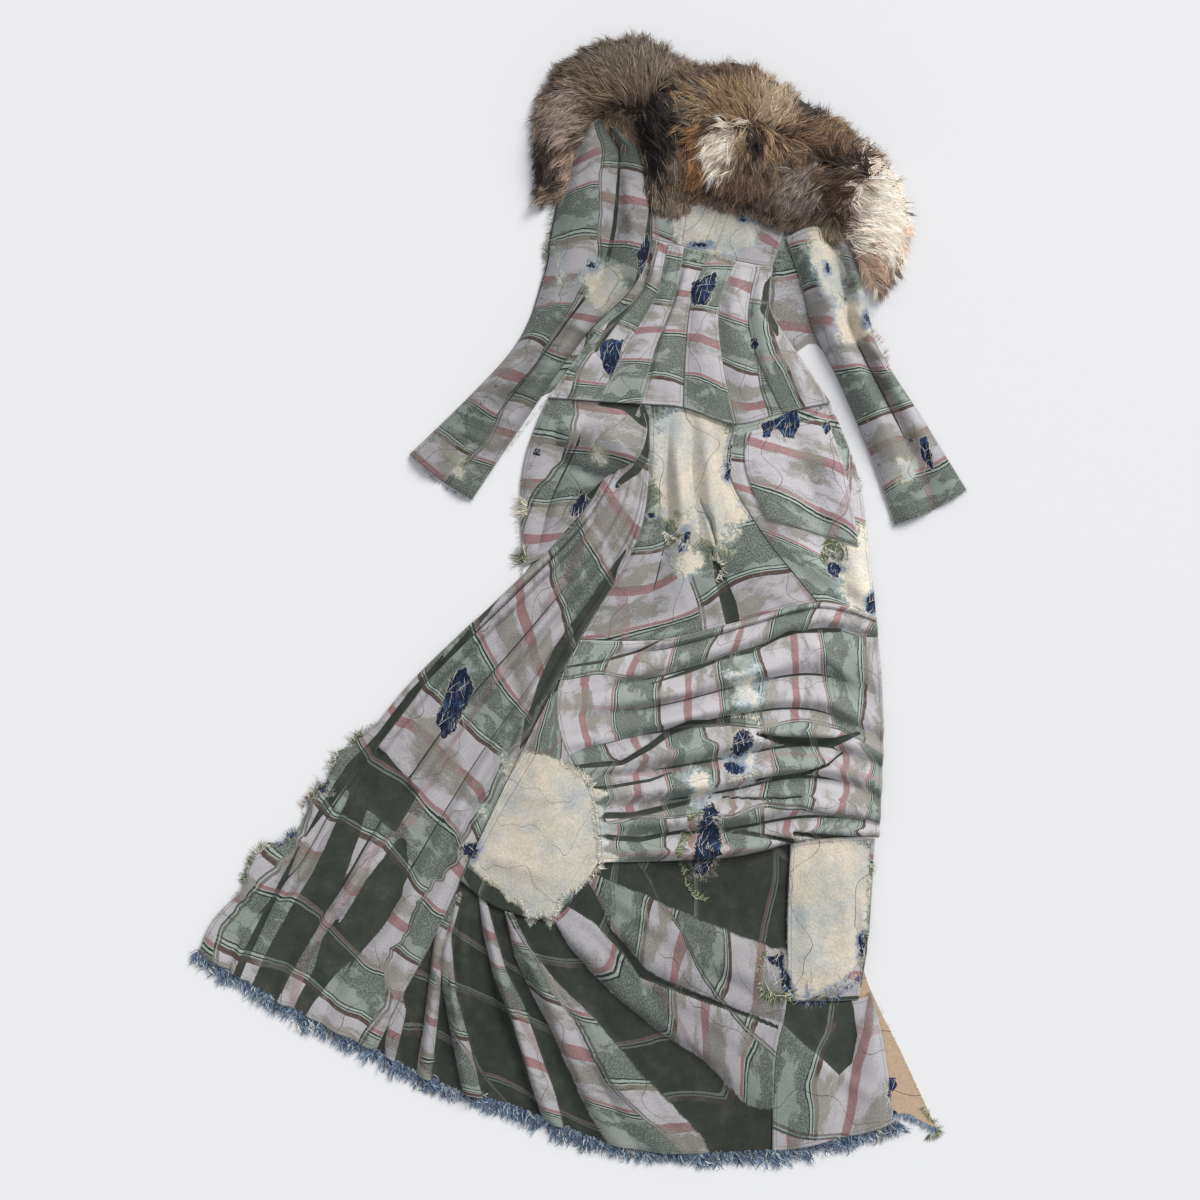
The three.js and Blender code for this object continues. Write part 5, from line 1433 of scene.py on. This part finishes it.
raw_edges = [
    ([(598, 868), (580, 884), (562, 894), (557, 908), (551, 918), (541, 910), (531, 919), (524, 903),
      (505, 888), (486, 874)], 7, 16, "cream"),
    ([(560, 762), (590, 784), (594, 820), (598, 850), (600, 868)], 9, 12, "cream"),
    ([(868, 840), (866, 900), (860, 972)], 4, 8, "green"),
    ([(860, 974), (828, 998), (800, 1000), (783, 984)], 7, 14, "blue"),
    ([(783, 984), (786, 920), (793, 838)], 3, 8, "sage"), ([(793, 838), (868, 842)], 5, 10, "cream"),
    ([(214, 920), (240, 888), (246, 874), (254, 852), (272, 846), (288, 840), (302, 825), (304, 803),
      (313, 792), (329, 780), (334, 757), (350, 745), (357, 735), (376, 722)], 4, 12, "green"),
    ([(352, 742), (364, 733)], 12, 20, "green"), ([(331, 768), (338, 754)], 12, 24, "cream"),
    ([(312, 796), (325, 783)], 10, 22, "green"), ([(302, 806), (310, 796)], 9, 20, "pink"),
    ([(284, 843), (298, 832)], 11, 22, "blue"), ([(256, 852), (270, 846)], 11, 26, "cream"),
    ([(244, 880), (256, 854)], 9, 26, "green"), ([(526, 516), (526, 504)], 17, 34, "cream"),
    ([(525, 564), (524, 554)], 17, 40, "green"), ([(522, 575), (518, 540), (522, 480)], 4, 5, "sage"),
    ([(474, 500), (440, 484), (413, 456)], 4, 10, "sage"),
    ([(966, 490), (930, 510), (894, 524)], 4, 10, "sage"),
    ([(893, 522), (868, 430), (836, 352)], 4, 6, "green"),
    ([(872, 330), (886, 352), (884, 372)], 7, 12, "pink"),
    ([(545, 262), (548, 240), (556, 190)], 8, 10, "green"),
    ([(412, 454), (462, 420), (500, 385), (536, 330), (545, 262)], 4, 6, "sage"),
    ([(598, 340), (560, 385), (530, 420), (506, 452)], 4, 5, "green"),
    ([(764, 430), (800, 422), (826, 404)], 4, 9, "sage"),
    ([(826, 404), (842, 440), (862, 488)], 4, 6, "sage"),
    ([(862, 488), (842, 503), (800, 540)], 3, 5, "pink"),
    ([(868, 620), (876, 640), (880, 700)], 3, 5, "green"), ([(845, 548), (828, 540)], 14, 22, "green"),
    ([(828, 540), (820, 556)], 14, 20, "green"), ([(822, 558), (842, 560)], 12, 16, "green"),
    ([(690, 548), (664, 533)], 6, 20, "cream"), ([(664, 533), (668, 545)], 6, 18, "cream"),
    ([(712, 558), (722, 566), (716, 582)], 8, 24, "cream"), ([(690, 812), (676, 850)], 13, 22, "green"),
    ([(676, 850), (690, 890), (706, 900)], 8, 20, "green"),
    ([(730, 716), (756, 722), (752, 770), (728, 776)], 7, 16, "cream"),
    ([(768, 1000), (757, 975), (766, 950)], 6, 22, "green"),
    ([(790, 990), (776, 994), (764, 988)], 14, 34, "green"),
    ([(640, 262), (628, 240), (634, 200)], 4, 8, "sage"),
    ([(660, 245), (690, 262), (712, 256), (740, 268)], 4, 9, "green"),
    ([(880, 1006), (905, 1062), (928, 1112)], 3, 6, "cream"),
    ([(920, 1108), (938, 1130), (928, 1136)], 8, 26, "green"),
    ([(936, 1129), (921, 1122), (908, 1115), (893, 1114)], 8, 40, "denim"),
    ([(530, 470), (545, 430), (560, 392)], 4, 6, "sage"), ([(870, 863), (872, 872)], 8, 26, "cream"),
]


def height_over(points):
    """How high the cloth stands at each of many points."""
    return relief[cells(points)]


all_paths, all_sides, all_widths, all_tones = [], [], [], []


def add_yarns(start, way, length, kind, width, rows=4):
    """Fine yarns that lie on the cloth or the table, from their starts along their ways."""
    count = len(start)
    steps = np.linspace(0, 1, rows)[None, :, None]
    side = np.column_stack([-way[:, 1], way[:, 0]])
    bend = chance.normal(0, 0.22, (count, 1, 1)) * length[:, None, None]
    straight = start[:, None, :] + way[:, None, :] * length[:, None, None] * steps
    flat = straight + side[:, None, :] * bend * steps ** 2
    above = chance.uniform(0.0004, 0.0022, (count, 1))
    height = height_over(flat) + above + 0.001 * np.sin(math.pi * steps[..., 0])
    all_paths.append(np.concatenate([flat, height[..., None]], axis=2))
    roll = chance.uniform(-0.5, 0.5, count)
    all_sides.append(np.column_stack([side * np.cos(roll)[:, None], np.sin(roll)]))
    all_widths.append(np.linspace(width, width * 0.6, rows)[None, :] * chance.uniform(0.6, 1.3, (count, 1)))
    all_tones.append(np.repeat(picked(*yarn_kinds[kind], count)[:, None, :], rows, axis=1))


for corners, reach, number, kind in raw_edges:
    edge_line = line(*[tuple(1000 * value for value in plan(*corner)) for corner in corners])
    run = np.linalg.norm(np.diff(edge_line(np.linspace(0, 1, 30)), axis=0), axis=1).sum() / PLAN_SQUARE
    count = max(8, int(run * number / 10))
    here, along, out = edge_frame(edge_line, chance.uniform(0, 1, count), 0.02)
    tilt = chance.normal(0, 0.5, count) + 0.4 * np.sin(here[:, 0] * 400)
    way = -out * np.cos(tilt)[:, None] + along * np.sin(tilt)[:, None]
    start = here + out * chance.uniform(0, 0.003, (count, 1))
    long = reach * PLAN_SQUARE * chance.uniform(0.4, 1.15, count)
    add_yarns(start, way, long, kind, 0.0004 + 0.00006 * reach)

# Loose threads lie across each rip, where the weft has come away.
threaded = list(rip_places)
for corners, _, most in rip_outlines:
    low, high = np.min(corners, axis=0), np.max(corners, axis=0)
    threaded.append((*(low + high) / 2, *(high - low) * 0.45, 0, most))
for x, y, half_width, half_height, turn, most in threaded:
    count = int(4 + half_width * half_height / 14)
    angle, reach = chance.uniform(0, 6.28, count), np.sqrt(chance.uniform(0, 1, count))
    c, s = math.cos(math.radians(turn)), math.sin(math.radians(turn))
    dx, dy = half_width * reach * np.cos(angle), half_height * reach * np.sin(angle)
    middle = np.array(plan(x, y)) + np.column_stack([c * dx - s * dy, s * dx + c * dy]) * PLAN_SQUARE
    heading = chance.normal(math.radians(turn + 78), 0.45, count)
    way = np.column_stack([np.cos(heading), np.sin(heading)])
    long = chance.uniform(0.4, 1.1, count) * min(half_height, 16) * PLAN_SQUARE
    kind = "cream" if most > 0.85 else "blue"
    add_yarns(middle - way * long[:, None] / 2, way, long, kind, 0.0005)

frays = strands("frayed_edges", np.concatenate(all_paths), np.concatenate(all_sides),
                np.concatenate(all_widths), np.concatenate(all_tones), cotton_yarn)
